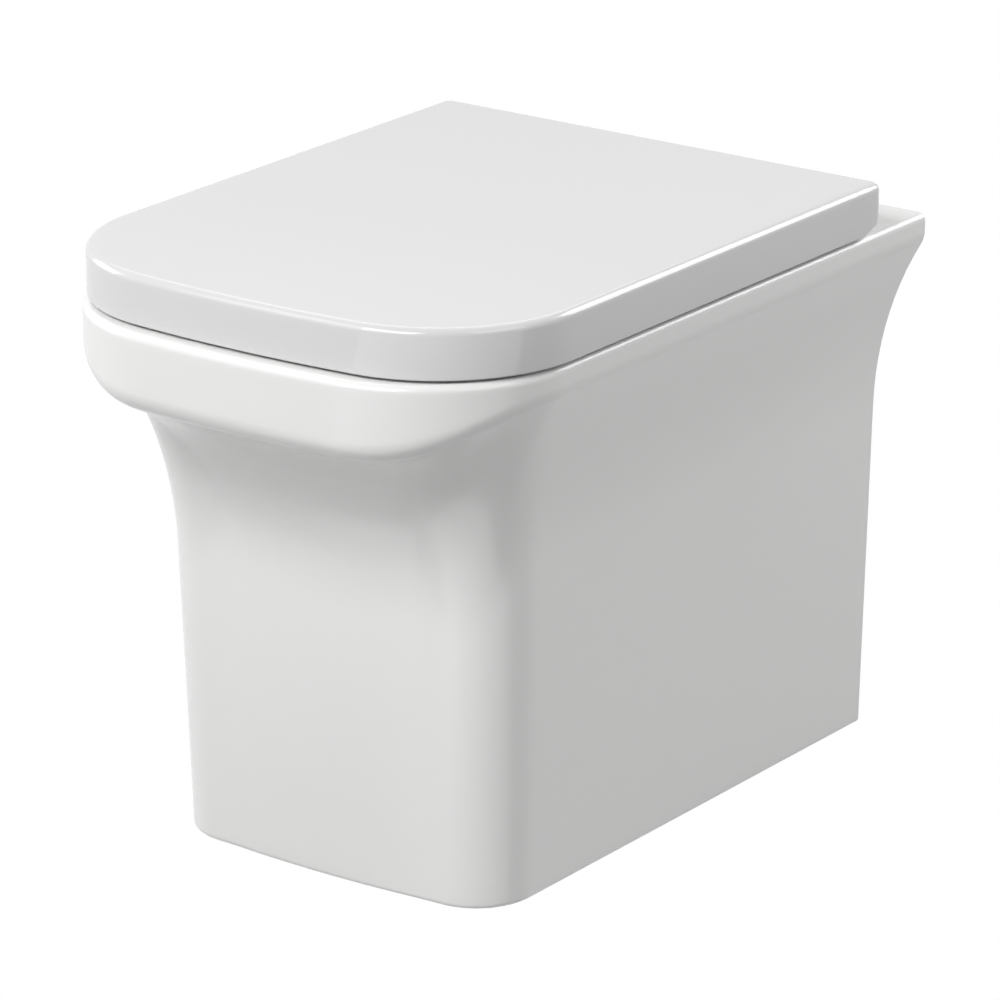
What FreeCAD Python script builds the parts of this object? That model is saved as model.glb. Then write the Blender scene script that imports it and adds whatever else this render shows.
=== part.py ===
"""Wall hung toilet: ceramic pan, wrap-over lid, seat ring, soft-close hinges and wall fixings.

Millimetres. +X is to the right seen from the front, -Y points out of the wall and +Z is up.
The wall is the plane y = 0 and the origin is midway between the two wall studs on that plane.
"""
import FreeCAD
import Part
import math
import os

import Sketcher

Vector = FreeCAD.Vector
X_AXIS = Vector(1, 0, 0)
Y_AXIS = Vector(0, 1, 0)
Z_AXIS = Vector(0, 0, 1)

SIZES = [
    ("pan_height", 381, "underside of the pan to the top of the rim"),
    ("pan_depth", 532, "wall to the front of the rim"),
    ("rim_width", 360, "rim across the sides"),
    ("rim_front_radius", 975, "bow of the rim's front in plan"),
    ("rim_corner_radius", 110, "front corners of the rim in plan"),
    ("rim_edge_radius", 5.5, "rounding of the rim's outer top edge"),
    ("base_side_inset", 45.2, "side of the rim to the side of the skirt at the underside"),
    ("base_front_inset", 90.5, "front of the rim to the front of the skirt at the underside"),
    ("base_front_radius", 890, "bow of the skirt's front in plan"),
    ("base_corner_radius", 42.5, "front corners of the skirt in plan"),
    ("base_edge_radius", 4, "rounding of the skirt's lower edge"),
    ("neck_side_draft", 6.8, "lean of each side of the skirt up to the neck"),
    ("neck_front_draft", 5, "lean of the skirt's front up to the neck"),
    ("neck_corner_radius", 43, "front corners of the skirt at the neck"),
    ("lip_band", 6.5, "upright face of the rim along the sides"),
    ("lip_radius", 20, "rounding under the rim along the sides"),
    ("flare_angle", 31, "steepest lean of the side flare, in degrees"),
    ("nose_band", 33.5, "upright face of the rim at the front"),
    ("nose_radius", 17, "rounding under the rim at the front"),
    ("nose_angle", 71, "steepest lean under the nose, in degrees"),
    ("nose_blend", 162, "length along the rim in which the lip grows into the nose"),
    ("skirt_wall", 12, "ceramic thickness of the skirt"),
    ("floor_wall", 12, "ceramic thickness of the closed underside"),
    ("deck_thickness", 15, "ceramic thickness of the rim and the deck"),
    ("side_ledge_width", 49, "rim from the side edge to the bowl opening"),
    ("front_ledge_width", 47, "rim from the front edge to the bowl opening"),
    ("deck_depth", 172, "deck from the wall to the bowl opening"),
    ("opening_front_radius", 88, "front corners of the bowl opening"),
    ("opening_rear_radius", 60, "rear corners of the bowl opening"),
    ("opening_edge_radius", 6, "rounding of the bowl opening's edge"),
    ("throat_depth", 32, "upright wall of the bowl below the rim"),
    ("bowl_wall", 12, "ceramic thickness of the bowl"),
    ("sump_width", 80, "bowl across the sides at its lowest level"),
    ("sump_length", 84, "bowl front to back at its lowest level"),
    ("sump_setback", 245, "wall to the rear of the sump"),
    ("sump_level", 46, "inside floor of the sump above the underside"),
    ("trap_radius", 38, "bore of the trapway"),
    ("trap_wall", 10, "ceramic thickness of the trapway"),
    ("trap_bend", 60, "radius of the trapway's two bends on the centre line"),
    ("trap_rise_angle", 60, "climb of the trapway, in degrees"),
    ("stud_height", 298, "wall studs above the underside"),
    ("stud_centres_width", 180, "wall studs centre to centre"),
    ("stud_radius", 6, "M12 wall studs"),
    ("stud_clearance", 0.5, "sleeve bore over the stud, on the radius"),
    ("sleeve_wall", 3.4, "wall of the plastic fixing sleeve"),
    ("sleeve_flange", 4, "flange of the sleeve beyond its outside"),
    ("sleeve_flange_thickness", 3, "thickness of the sleeve's flange"),
    ("fit_clearance", 0.1, "clearance of parts that are pushed together"),
    ("bridge_height", 56, "rear bridge that carries the fixing holes"),
    ("bridge_depth", 22, "thickness of the rear bridge"),
    ("fixing_washer_radius", 14, "washer behind the fixing nut"),
    ("fixing_washer_thickness", 2.5, "washer behind the fixing nut"),
    ("fixing_nut_flats", 19, "fixing nut across the flats"),
    ("fixing_nut_height", 10, "fixing nut"),
    ("outlet_drop", 100, "outlet axis below the studs"),
    ("outlet_horn_radius", 51, "outside of the outlet horn"),
    ("outlet_horn_length", 55, "thickened end of the outlet"),
    ("horn_setback", 4, "ends of the inlet and outlet inside the wall plane"),
    ("inlet_rise", 35, "inlet axis above the studs"),
    ("inlet_radius", 27.5, "bore of the inlet horn"),
    ("inlet_wall", 9, "ceramic thickness of the inlet horn"),
    ("inlet_depth", 95, "wall to the end of the inlet's round bore"),
    ("flush_slot_width", 86, "slot that spreads the flush into the bowl"),
    ("flush_slot_height", 18, "slot that spreads the flush into the bowl"),
    ("inlet_seal_length", 34, "rubber sleeve for the flush pipe"),
    ("inlet_seal_lip", 4, "collar of the rubber sleeve beyond its outside"),
    ("inlet_seal_lip_thickness", 3, "collar of the rubber sleeve"),
    ("inlet_recess", 1, "recess in the rear round the rubber sleeve's collar"),
    ("flush_pipe_radius", 22.5, "flush pipe that pushes into the sleeve"),
    ("lid_side_overlap", 2, "side of the lid beyond the side of the rim"),
    ("lid_front_inset", 10, "front of the rim to the front of the lid"),
    ("lid_setback", 56, "wall to the rear edge of the lid"),
    ("lid_front_radius", 975, "bow of the lid's front in plan"),
    ("lid_corner_radius", 104, "front corners of the lid in plan"),
    ("lid_rear_radius", 9, "rear corners of the lid in plan"),
    ("lid_edge_radius", 5.5, "rounding of the lid's top edge"),
    ("lid_height", 33.5, "lid from its lower edge to its top"),
    ("lid_gap", 2, "lid's lower edge above the rim"),
    ("lid_wall", 4.5, "moulding thickness of the lid"),
    ("lid_heel_radius", 22, "rounding of the lid's rear lower corners, up to its rear lip"),
    ("ring_gap", 2, "seat ring inside the lid's wall"),
    ("ring_thickness", 17, "seat ring"),
    ("ring_lift", 3, "seat ring above the rim, on its buffers"),
    ("ring_setback", 74, "wall to the rear edge of the seat ring"),
    ("ring_side_width", 75, "seat ring at the sides, lid side to opening"),
    ("ring_front_width", 62, "seat ring at the front, lid front to opening"),
    ("ring_rear_width", 88, "seat ring at the rear, rear edge to opening"),
    ("ring_opening_flat", 14, "straight front and rear of the seat opening, between its corners"),
    ("ring_rear_radius", 14, "rear corners of the seat ring in plan"),
    ("ring_edge_radius", 6, "rounding of the seat ring's top edges"),
    ("ring_under_wall", 4, "moulding thickness of the seat ring"),
    ("ring_under_depth", 9, "depth of the hollow under the seat ring"),
    ("buffer_width", 12, "rubber buffers across"),
    ("buffer_length", 34, "rubber buffers along the ring"),
    ("buffer_corner_radius", 4, "upright corners of the rubber buffers"),
    ("buffer_edge_radius", 2, "rounding of a buffer's free edges"),
    ("seat_buffer_front_inset", 92, "front of the lid to the front seat buffers"),
    ("seat_buffer_rear_inset", 126, "rear edge of the ring to the rear seat buffers"),
    ("lid_buffer_front_inset", 82, "front of the lid to the front lid buffers"),
    ("lid_buffer_rear_inset", 141, "rear edge of the ring to the rear lid buffers"),
    ("buffer_side_inset", 36, "side of the lid to the middle of the buffers"),
    ("buffer_clearance", 0.3, "buffers above what they rest on"),
    ("hinge_centres_width", 155, "seat fixing holes centre to centre"),
    ("hinge_setback", 45, "wall to the hinge axis"),
    ("hinge_rise", 20, "hinge axis above the deck"),
    ("seat_hole_radius", 7, "seat fixing holes in the deck"),
    ("gasket_radius", 13, "rubber pad under each hinge"),
    ("gasket_thickness", 1, "rubber pad under each hinge"),
    ("plate_thickness", 3, "metal hinge plate"),
    ("plate_inset", 1, "metal hinge plate inside its rubber pad"),
    ("spigot_radius", 7.5, "spigot of the hinge plate"),
    ("spigot_height", 5, "spigot of the hinge plate"),
    ("bolt_radius", 3, "M6 hinge bolt"),
    ("bolt_head_radius", 6, "countersunk head of the hinge bolt"),
    ("bolt_head_depth", 3, "countersunk head of the hinge bolt"),
    ("bolt_length", 44, "hinge bolt below the deck surface"),
    ("plug_bulge", 2.5, "expanded rubber plug beyond its hole"),
    ("plug_bulge_length", 16, "length of the plug under the deck"),
    ("plug_nut_flats", 10, "nut under the plug across the flats"),
    ("plug_nut_height", 6, "nut under the plug"),
    ("post_width", 30, "hinge post along the axis"),
    ("barrel_radius", 8.5, "hinge barrel"),
    ("damper_radius", 6.3, "damper housing"),
    ("damper_length", 20, "damper housing"),
    ("damper_wall", 1.4, "damper housing"),
    ("rotor_clearance", 0.08, "damper rotor in its housing"),
    ("shaft_radius", 4, "hinge pins and rotor shafts"),
    ("shaft_clearance", 0.06, "lug bore over a pin, on the radius"),
    ("key_flats", 6, "rotor shaft across its flats"),
    ("pin_depth", 6, "hinge pin inside the post"),
    ("lug_radius", 8, "hinge lugs"),
    ("lug_width", 11.5, "hinge lugs along the axis"),
    ("lug_gap", 1, "hinge lugs beside the post"),
    ("arm_height", 8, "arms that carry the ring's lugs"),
    ("arm_length", 20, "arms that carry the lid's lugs, inside the lid"),
]

doc = FreeCAD.newDocument("wall_hung_toilet")
sheet = doc.addObject("Spreadsheet::Sheet", "sizes")
for row, (alias, number, note) in enumerate(SIZES, start=1):
    sheet.set("A%d" % row, note)
    sheet.set("B%d" % row, str(number))
    sheet.setAlias("B%d" % row, alias)
doc.recompute()

sub_parts = []


def size(alias):
    """A driving dimension, as a number."""
    return float(getattr(sheet, alias))


def measure(expression):
    """The number that an expression on the sheet comes to."""
    return float(sheet.evalExpression(expression))


def bind(feature, **expressions):
    """Tie properties of a feature to expressions on the sheet."""
    for name, expression in expressions.items():
        feature.setExpression(name.replace("__", "."), expression)


def keep(feature, label):
    """Name a finished sub-part, which then gets a file of that name."""
    feature.Label = label
    sub_parts.append(feature)
    return feature


# Levels and places that several pieces share, as expressions on the sheet
BASE_HALF_WIDTH = "(sizes.rim_width / 2 - sizes.base_side_inset)"
BASE_DEPTH = "(sizes.pan_depth - sizes.base_front_inset)"
OPENING_HALF_WIDTH = "(sizes.rim_width / 2 - sizes.side_ledge_width)"
OPENING_FRONT = "(sizes.pan_depth - sizes.front_ledge_width)"
LID_HALF_WIDTH = "(sizes.rim_width / 2 + sizes.lid_side_overlap)"
LID_DEPTH = "(sizes.pan_depth - sizes.lid_front_inset)"
DECK = "(sizes.pan_height - sizes.stud_height)"
UNDERSIDE = "(-sizes.stud_height)"
AXIS_Y = "(-sizes.hinge_setback)"
AXIS_Z = "(%s + sizes.hinge_rise)" % DECK
LID_BOTTOM = "(%s + sizes.lid_gap)" % DECK
LID_TOP = "(%s + sizes.lid_height)" % LID_BOTTOM
LIP_BOTTOM = "(%s + sizes.lid_heel_radius)" % LID_BOTTOM
LID_CEILING = "(%s - sizes.lid_wall)" % LID_TOP
RING_BOTTOM = "(%s + sizes.ring_lift)" % DECK
RING_TOP = "(%s + sizes.ring_thickness)" % RING_BOTTOM
PLATE_BOTTOM = "(%s + sizes.gasket_thickness)" % DECK
PLATE_TOP = "(%s + sizes.plate_thickness)" % PLATE_BOTTOM
LUG_NEAR = "(sizes.post_width / 2 + sizes.lug_gap)"
LUG_FAR = "(%s + sizes.lug_width)" % LUG_NEAR
SLEEVE_RADIUS = "(sizes.stud_radius + sizes.stud_clearance + sizes.sleeve_wall)"
STUD_HOLE_RADIUS = "(%s + sizes.fit_clearance)" % SLEEVE_RADIUS


class Plan:
    """Half an outline seen from above: straight side, corner arc and bowed front, tangent in turn."""

    def __init__(self, half_width, depth, front_radius, corner_radius):
        span = front_radius - corner_radius
        self.half_width = half_width
        self.depth = depth
        self.front_radius = front_radius
        self.corner_radius = corner_radius
        self.corner = Vector(half_width - corner_radius, 0, 0)
        self.front = Vector(0, front_radius - depth, 0)
        self.corner.y = self.front.y - math.sqrt(span ** 2 - self.corner.x ** 2)
        self.lean = math.asin(self.corner.x / span)

    def length(self):
        """Length along the outline from the end of the straight side to the middle of the front."""
        return self.corner_radius * (math.pi / 2 - self.lean) + self.front_radius * self.lean

    def point(self, length):
        """Point and outward normal at a length past the straight side, or before it if negative."""
        corner_length = self.corner_radius * (math.pi / 2 - self.lean)
        if length <= 0:
            return Vector(self.half_width, self.corner.y - length, 0), Vector(1, 0, 0)
        if length <= corner_length:
            turn = length / self.corner_radius
            normal = Vector(math.cos(turn), -math.sin(turn), 0)
            return self.corner + normal * self.corner_radius, normal
        turn = self.lean - (length - corner_length) / self.front_radius
        normal = Vector(math.sin(turn), -math.cos(turn), 0)
        return self.front + normal * self.front_radius, normal

    def is_inside(self, point):
        """Whether a point to the right of the middle lies inside the outline."""
        if point.y >= self.corner.y:
            return point.x <= self.half_width
        from_corner = point - self.corner
        if math.atan2(-from_corner.y, from_corner.x) > math.pi / 2 - self.lean:
            return (point - self.front).Length <= self.front_radius
        return from_corner.Length <= self.corner_radius

    def distance_in(self, point, normal):
        """How far inwards along a normal the outline lies from a point outside it."""
        near = 0
        far = self.half_width
        for _ in range(40):
            middle = (near + far) / 2
            if self.is_inside(point - normal * middle):
                far = middle
            else:
                near = middle
        return far


def ease(share):
    """0 to 1 with no slope or curvature at either end."""
    share = min(max(share, 0), 1)
    return share ** 3 * (share * (6 * share - 15) + 10)


class Skin:
    """Sculpted outside of the pan: an upright profile carried round the rim's outline.

    The profile is the leaning skirt, a hollow arc out to the rim, a round arc under it, an upright
    band and the rounded top edge. Along the sides it is a thin lip, and over the length nose_blend
    round each front corner it deepens into the nose. Each line or arc of the profile is a short row
    of weighted poles. Splines through the same pole of every profile carry them round the rim, so
    neighbouring strips of the skin share their edges exactly.
    """
    PROFILES = 30
    SIDE_MARGIN = 1.5

    def __init__(self, inset, floor, rear, rounded):
        self.inset = inset
        self.floor = floor
        self.rear = rear
        self.rounded = rounded
        self.rim = Plan(size("rim_width") / 2, size("pan_depth"),
                        size("rim_front_radius"), size("rim_corner_radius"))
        self.base = Plan(measure(BASE_HALF_WIDTH), measure(BASE_DEPTH),
                         size("base_front_radius"), size("base_corner_radius"))
        self.neck = Plan(self.base.half_width + size("neck_side_draft"),
                         self.base.depth + size("neck_front_draft"),
                         self.base.front_radius + size("neck_front_draft"), size("neck_corner_radius"))

    def between(self, along_side, at_nose, length):
        """A profile size that changes from the side's lip to the nose."""
        blend = ease(length / size("nose_blend"))
        return size(along_side) + blend * (size(at_nose) - size(along_side))

    def profile(self, length):
        """Poles of the profile, square to the rim at a length along it, from the underside up."""
        rim_point, normal = self.rim.point(length)
        neck_depth = self.neck.distance_in(rim_point, normal)
        base_depth = self.base.distance_in(rim_point, normal)
        steepest = math.radians(self.between("flare_angle", "nose_angle", length))
        round_radius = self.between("lip_radius", "nose_radius", length)
        top_level = size("pan_height")
        top_edge = size("rim_edge_radius")
        low_edge = size("base_edge_radius")
        band_level = top_level - top_edge - self.between("lip_band", "nose_band", length)
        neck_level = band_level
        for _ in range(8):
            draft = math.atan((base_depth - neck_depth) / neck_level)
            hollow_reach = neck_depth - round_radius * (1 - math.cos(steepest))
            hollow_radius = hollow_reach / (math.cos(draft) - math.cos(steepest))
            neck_level = (band_level - round_radius * math.sin(steepest)
                          - hollow_radius * (math.sin(steepest) - math.sin(draft)))
        hollow_depth = neck_depth - hollow_radius * math.cos(draft)
        hollow_level = neck_level - hollow_radius * math.sin(draft)

        def place(depth, level):
            flat = rim_point - normal * depth
            return Vector(flat.x, flat.y, level - size("stud_height"))

        def line(start, end):
            return [(start, 1), (end, 1)]

        def arc(depth, level, radius, start, end):
            half = (end - start) / 2
            middle = radius / math.cos(half)
            return [(place(depth + radius * math.cos(start), level + radius * math.sin(start)), 1),
                    (place(depth + middle * math.cos(start + half),
                           level + middle * math.sin(start + half)), math.cos(half)),
                    (place(depth + radius * math.cos(end), level + radius * math.sin(end)), 1)]

        hollow = arc(hollow_depth, hollow_level, hollow_radius + self.inset, draft, steepest)
        rounding = arc(round_radius, band_level, round_radius - self.inset, steepest + math.pi, math.pi)
        neck_point = hollow[0][0]
        band_point = rounding[-1][0]
        if not self.rounded:
            low_point = place(base_depth - self.floor * math.tan(draft) + self.inset / math.cos(draft),
                              self.floor)
            return [line(low_point, neck_point), hollow, rounding,
                    line(band_point, place(self.inset, top_level))]
        low_depth = base_depth + low_edge * (math.cos(draft) - (1 - math.sin(draft)) * math.tan(draft))
        foot = arc(low_depth, low_edge, low_edge, 1.5 * math.pi, math.pi + draft)
        brow = arc(top_edge, top_level - top_edge, top_edge, math.pi, math.pi / 2)
        return [foot, line(foot[-1][0], neck_point), hollow, rounding, line(band_point, brow[0][0]), brow]

    def solid(self):
        """The skin closed by a flat top, a flat underside and an upright rear.

        The flat sides end well behind the first of the rounded corners.
        """
        flat_end = self.SIDE_MARGIN * (self.rim.corner.y - max(self.base.corner.y, self.neck.corner.y))
        stride = (self.rim.length() - flat_end) / (self.PROFILES - 1)
        right = [self.profile(flat_end + stride * i) for i in range(self.PROFILES)]
        left = [[[(Vector(-pole.x, pole.y, pole.z), weight) for pole, weight in piece] for piece in profile]
                for profile in reversed(right[:-1])]
        along = [stride * i for i in range(2 * self.PROFILES - 1)]
        faces = [skin_strip(pieces, along) for pieces in zip(*(right + left))]

        side_edges = [pole_edge(piece) for piece in right[0]]
        side_end = side_edges[0].Vertexes[0].Point.y
        side = Part.Wire(side_edges).extrude(Vector(0, self.rear - side_end, 0))
        rear = [edge.translated(Vector(0, self.rear - side_end, 0)) for edge in side_edges]
        faces += side.Faces + mirrored(side).Faces
        rear_ends = [rear[0].Vertexes[0].Point, rear[-1].Vertexes[-1].Point]
        rear_lines = [Part.makeLine(end, Vector(-end.x, end.y, end.z)) for end in rear_ends]
        for end, rear_line in zip(rear_ends, rear_lines):
            level_edges = [edge for face in faces for edge in face.Edges
                           if abs(edge.BoundBox.ZMin - end.z) + abs(edge.BoundBox.ZMax - end.z) < 0.01]
            faces.append(flat_face(level_edges + [rear_line]))
        faces.append(flat_face(rear + [mirrored(edge) for edge in rear] + rear_lines))
        shell = Part.Shell(faces)
        shell.sewShape()
        return outward_solid(shell)


def pole_edge(poles):
    """Line or circular arc from its two or three weighted poles."""
    if len(poles) == 2:
        return Part.makeLine(poles[0][0], poles[1][0])
    (start, _), (middle, weight), (end, _) = poles
    crown = (start + middle * (2 * weight) + end) / (2 + 2 * weight)
    return Part.Arc(start, crown, end).toShape()


def skin_strip(pieces, along):
    """Surface that carries one line or arc of the profile from the right side round to the left."""
    rows = []
    weights = []
    for column in zip(*pieces):
        first = column[0][1]
        last = column[-1][1]
        spline = Part.BSplineCurve()
        spline.interpolate(Points=[pole * weight for pole, weight in column], Parameters=along,
                           InitialTangent=-Y_AXIS * first, FinalTangent=Y_AXIS * last, Scale=False)
        factor = Part.BSplineCurve()
        factor.interpolate(Points=[Vector(weight, place, 0) for (_, weight), place in zip(column, along)],
                           Parameters=along, InitialTangent=Y_AXIS, FinalTangent=Y_AXIS, Scale=False)
        row_weights = [pole.x for pole in factor.getPoles()]
        rows.append([pole / weight for pole, weight in zip(spline.getPoles(), row_weights)])
        weights.append(row_weights)
    degree = len(rows) - 1
    surface = Part.BSplineSurface()
    surface.buildFromPolesMultsKnots(rows, [degree + 1] * 2, spline.getMultiplicities(), [0, 1],
                                     spline.getKnots(), False, False, degree, spline.Degree, weights)
    return surface.toShape()


def mirrored(shape):
    """The same shape on the other side of the middle plane."""
    return shape.mirror(Vector(0, 0, 0), X_AXIS)


def flat_face(edges):
    """Face inside a closed run of edges, given in any order."""
    return Part.Face(Part.Wire(Part.__sortEdges__(edges)))


def outward_solid(shell):
    """A solid with its faces outwards."""
    solid = Part.Solid(shell)
    if solid.Volume < 0:
        solid.reverse()
    return solid


# Largest corner of a rounded outline, as a share of its smaller half size
CORNER_LIMIT = 0.96


def rounded_loop(half_width, front, rear, front_radius, rear_radius, level):
    """Closed outline at one level, with front corners of one radius and rear corners of another."""
    limit = CORNER_LIMIT * min(half_width, (rear - front) / 2)
    front_radius = min(front_radius, limit)
    rear_radius = min(rear_radius, limit)
    corners = [(1, rear, rear_radius, 90), (-1, rear, rear_radius, 180),
               (-1, front, front_radius, 270), (1, front, front_radius, 0)]
    arcs = []
    for side, y, radius, start in corners:
        inwards = -radius if y == rear else radius
        centre = Vector(side * (half_width - radius), y + inwards, level)
        arcs.append(Part.makeCircle(radius, centre, Z_AXIS, start - 90, start))
    edges = []
    for arc, following in zip(arcs, arcs[1:] + arcs[:1]):
        edges.append(arc)
        edges.append(Part.makeLine(arc.Vertexes[1].Point, following.Vertexes[0].Point))
    return Part.Wire(edges)


# The bowl's slope: share of the way in from the throat to the sump, and share of the way down
BOWL_SLOPE = [(0, 0), (0.14, 0.1), (0.3, 0.22), (0.55, 0.46), (0.79, 0.7), (0.94, 0.87), (1, 1)]


def bowl_solid(outset, top_level, floor_level):
    """Inside of the bowl, grown by outset: opening, upright throat, then in towards the sump."""
    opening = measure(OPENING_HALF_WIDTH)
    front = -measure(OPENING_FRONT)
    rear = -size("deck_depth")
    sump = size("sump_width") / 2
    sump_rear = -size("sump_setback")
    sump_front = sump_rear - size("sump_length")
    throat = measure(DECK) - size("throat_depth")

    def loop(share, level):
        """Outline part of the way from the opening, 0, to the sump, 1."""
        half_width = opening + (sump - opening) * share
        y_front = front + (sump_front - front) * share
        y_rear = rear + (sump_rear - rear) * share
        front_radius = size("opening_front_radius") * (1 - share) + sump * share
        rear_radius = size("opening_rear_radius") * (1 - share) + sump * share
        return rounded_loop(half_width + outset, y_front - outset, y_rear + outset,
                            front_radius + outset, rear_radius + outset, level)

    drop = throat - floor_level
    loops = [loop(0, top_level), loop(0, throat)]
    upper = Part.makeLoft(loops, True, True)
    lower = Part.makeLoft([loop(share, throat - drop * fall) for share, fall in BOWL_SLOPE], True, False)
    return upper.fuse(lower)


def trap_path(rear):
    """Centre line of the trapway: out of the sump, up over the weir and level to the wall."""
    outlet = -size("outlet_drop")
    entry = size("sump_level") - size("stud_height") + size("trap_radius")
    bend = size("trap_bend")
    climb = math.radians(size("trap_rise_angle"))
    start_y = -(size("sump_setback") + size("sump_length") / 2)
    bend_y = -size("sump_setback") + size("trap_radius") / 2
    straight = (outlet - entry - 2 * bend * (1 - math.cos(climb))) / math.sin(climb)
    first = Vector(0, bend_y, entry)
    first_mid = first + Vector(0, bend * math.sin(climb / 2), bend * (1 - math.cos(climb / 2)))
    first_end = first + Vector(0, bend * math.sin(climb), bend * (1 - math.cos(climb)))
    second = first_end + Vector(0, math.cos(climb), math.sin(climb)) * straight
    second_end = Vector(0, second.y + bend * math.sin(climb), outlet)
    second_mid = second_end - Vector(0, bend * math.sin(climb / 2), bend * (1 - math.cos(climb / 2)))
    return Part.Wire([
        Part.makeLine(Vector(0, start_y, entry), first),
        Part.Arc(first, first_mid, first_end).toShape(),
        Part.makeLine(first_end, second),
        Part.Arc(second, second_mid, second_end).toShape(),
        Part.makeLine(second_end, Vector(0, rear, outlet))])


def trap_tube(radius, rear):
    """Round tube along the trapway."""
    path = trap_path(rear)
    start = path.Edges[0].Vertexes[0].Point
    ring = Part.Wire(Part.makeCircle(radius, start, Y_AXIS))
    return path.makePipeShell([ring], True, True)


def wall_cylinder(radius, x, z, inner_end, outer_end):
    """Round bar along Y between two depths."""
    return Part.makeCylinder(radius, outer_end - inner_end, Vector(x, inner_end, z), Y_AXIS)


def make_pan():
    """Ceramic pan as the four castings that are stuck together before firing: the body with the skirt and the
    bridge for the wall studs, the rim with the deck, the flush inlet, and the bowl with trapway and outlet.
    """
    rim = measure(DECK)
    underside = measure(UNDERSIDE)
    far_out = size("pan_depth")
    outside = Skin(0, 0, 0, True).solid()

    hollow = Skin(size("skirt_wall"), size("floor_wall"), size("bridge_depth"), False).solid()
    deck_zone = Part.makeBox(2 * far_out, 2 * far_out, far_out,
                             Vector(-far_out, -1.5 * far_out, rim - size("deck_thickness")))
    cavity = hollow.cut(deck_zone)

    sump_floor = underside + size("sump_level")
    bowl_inside = bowl_solid(0, rim + size("deck_thickness"), sump_floor)
    bowl_outside = bowl_solid(size("bowl_wall"), rim - size("deck_thickness") / 2,
                              sump_floor - size("bowl_wall"))
    horn_end = -size("horn_setback")
    outlet = -size("outlet_drop")
    inlet = size("inlet_rise")
    trap_outside = trap_tube(size("trap_radius") + size("trap_wall"), horn_end)
    horn = wall_cylinder(size("outlet_horn_radius"), 0, outlet,
                         horn_end - size("outlet_horn_length"), horn_end)
    inlet_outside = wall_cylinder(size("inlet_radius") + size("inlet_wall"), 0, inlet,
                                  -size("deck_depth"), horn_end)
    bridge = Part.makeBox(2 * far_out, size("bridge_depth"), size("bridge_height"),
                          Vector(-far_out, -size("bridge_depth"), -size("bridge_height") / 2))
    slot_box = Part.makeBox(size("flush_slot_width") + 2 * size("inlet_wall"),
                            size("deck_depth") - size("inlet_depth") + size("inlet_wall"),
                            size("flush_slot_height") + 2 * size("inlet_wall"),
                            Vector(-size("flush_slot_width") / 2 - size("inlet_wall"), -size("deck_depth"),
                                   inlet - size("flush_slot_height") / 2 - size("inlet_wall")))
    bowl_zone = bowl_outside.fuse([trap_outside, horn]).common(cavity)
    hollow = cavity
    for filled in (bowl_zone, inlet_outside, bridge, slot_box):
        hollow = hollow.cut(filled)
    pan = outside.cut(hollow)

    trap_inside = trap_tube(size("trap_radius"), size("bridge_depth"))
    inlet_bore = wall_cylinder(size("inlet_radius"), 0, inlet, -size("inlet_depth"), size("bridge_depth"))
    slot = Part.makeBox(size("flush_slot_width"),
                        size("deck_depth") - size("inlet_depth") + 2 * size("inlet_wall"),
                        size("flush_slot_height"),
                        Vector(-size("flush_slot_width") / 2, -size("deck_depth") - size("inlet_wall"),
                               inlet - size("flush_slot_height") / 2))
    recess_radius = size("inlet_radius") + size("inlet_seal_lip") + size("inlet_recess")
    seal_recess = wall_cylinder(recess_radius, 0, inlet, horn_end, size("bridge_depth"))
    cuts = [bowl_inside, trap_inside, inlet_bore, slot, seal_recess]
    for side in (-1, 1):
        cuts.append(wall_cylinder(measure(STUD_HOLE_RADIUS), side * size("stud_centres_width") / 2, 0,
                                  -2 * size("bridge_depth"), size("bridge_depth")))
        hole = Vector(side * size("hinge_centres_width") / 2, -size("hinge_setback"),
                      rim - 2 * size("deck_thickness"))
        cuts.append(Part.makeCylinder(size("seat_hole_radius"), 3 * size("deck_thickness"), hole, Z_AXIS))
    for cut in cuts:
        pan = pan.cut(cut)
    behind_wall = Part.makeBox(2 * far_out, far_out, 2 * far_out, Vector(-far_out, 0, -far_out))
    pan = pan.cut(behind_wall)
    pan = max(pan.Solids, key=lambda solid: solid.Volume)
    opening_edge = [edge for edge in pan.Edges
                    if all(abs(vertex.Z - rim) < 0.01 for vertex in edge.Vertexes)
                    and abs(edge.CenterOfMass.z - rim) < 0.01
                    and edge.BoundBox.YMax < -size("deck_depth") + 0.5
                    and edge.BoundBox.YMin > -measure(OPENING_FRONT) - 0.5]
    pan = pan.makeFillet(size("opening_edge_radius"), opening_edge)
    inlet_floor = inlet - size("inlet_radius") - 2 * size("inlet_wall")
    inlet_zone = Part.makeBox(size("flush_slot_width") + 2 * size("inlet_wall"), size("deck_depth"),
                              rim - size("deck_thickness") - inlet_floor,
                              Vector(-size("flush_slot_width") / 2 - size("inlet_wall"), -size("deck_depth"),
                                     inlet_floor))
    castings = []
    for label, zone in (("pan_bowl", bowl_zone), ("pan_rim", deck_zone), ("pan_inlet", inlet_zone)):
        castings.append((label, pan.common(zone)))
        pan = pan.cut(zone)
    for label, shape in [("pan", pan)] + castings:
        feature = doc.addObject("Part::Feature", label)
        feature.Shape = max(shape.Solids, key=lambda solid: solid.Volume)
        keep(feature, label)


def origin_plane(body, role):
    """One of a body's own base planes."""
    return next(item for item in body.Origin.OriginFeatures if item.Role == role)


def new_body(name, x="0", y="0", z="0"):
    """Empty body with its origin at a place on the toilet."""
    body = doc.addObject("PartDesign::Body", name)
    bind(body, Placement__Base__x=x, Placement__Base__y=y, Placement__Base__z=z)
    return body


def new_sketch(body, role, offset="0"):
    """Empty sketch on a base plane of a body, moved along the plane's normal."""
    sketch = body.newObject("Sketcher::SketchObject", "outline")
    sketch.AttachmentSupport = (origin_plane(body, role), [""])
    sketch.MapMode = "FlatFace"
    bind(sketch, AttachmentOffset__Base__z=offset)
    return sketch


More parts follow.
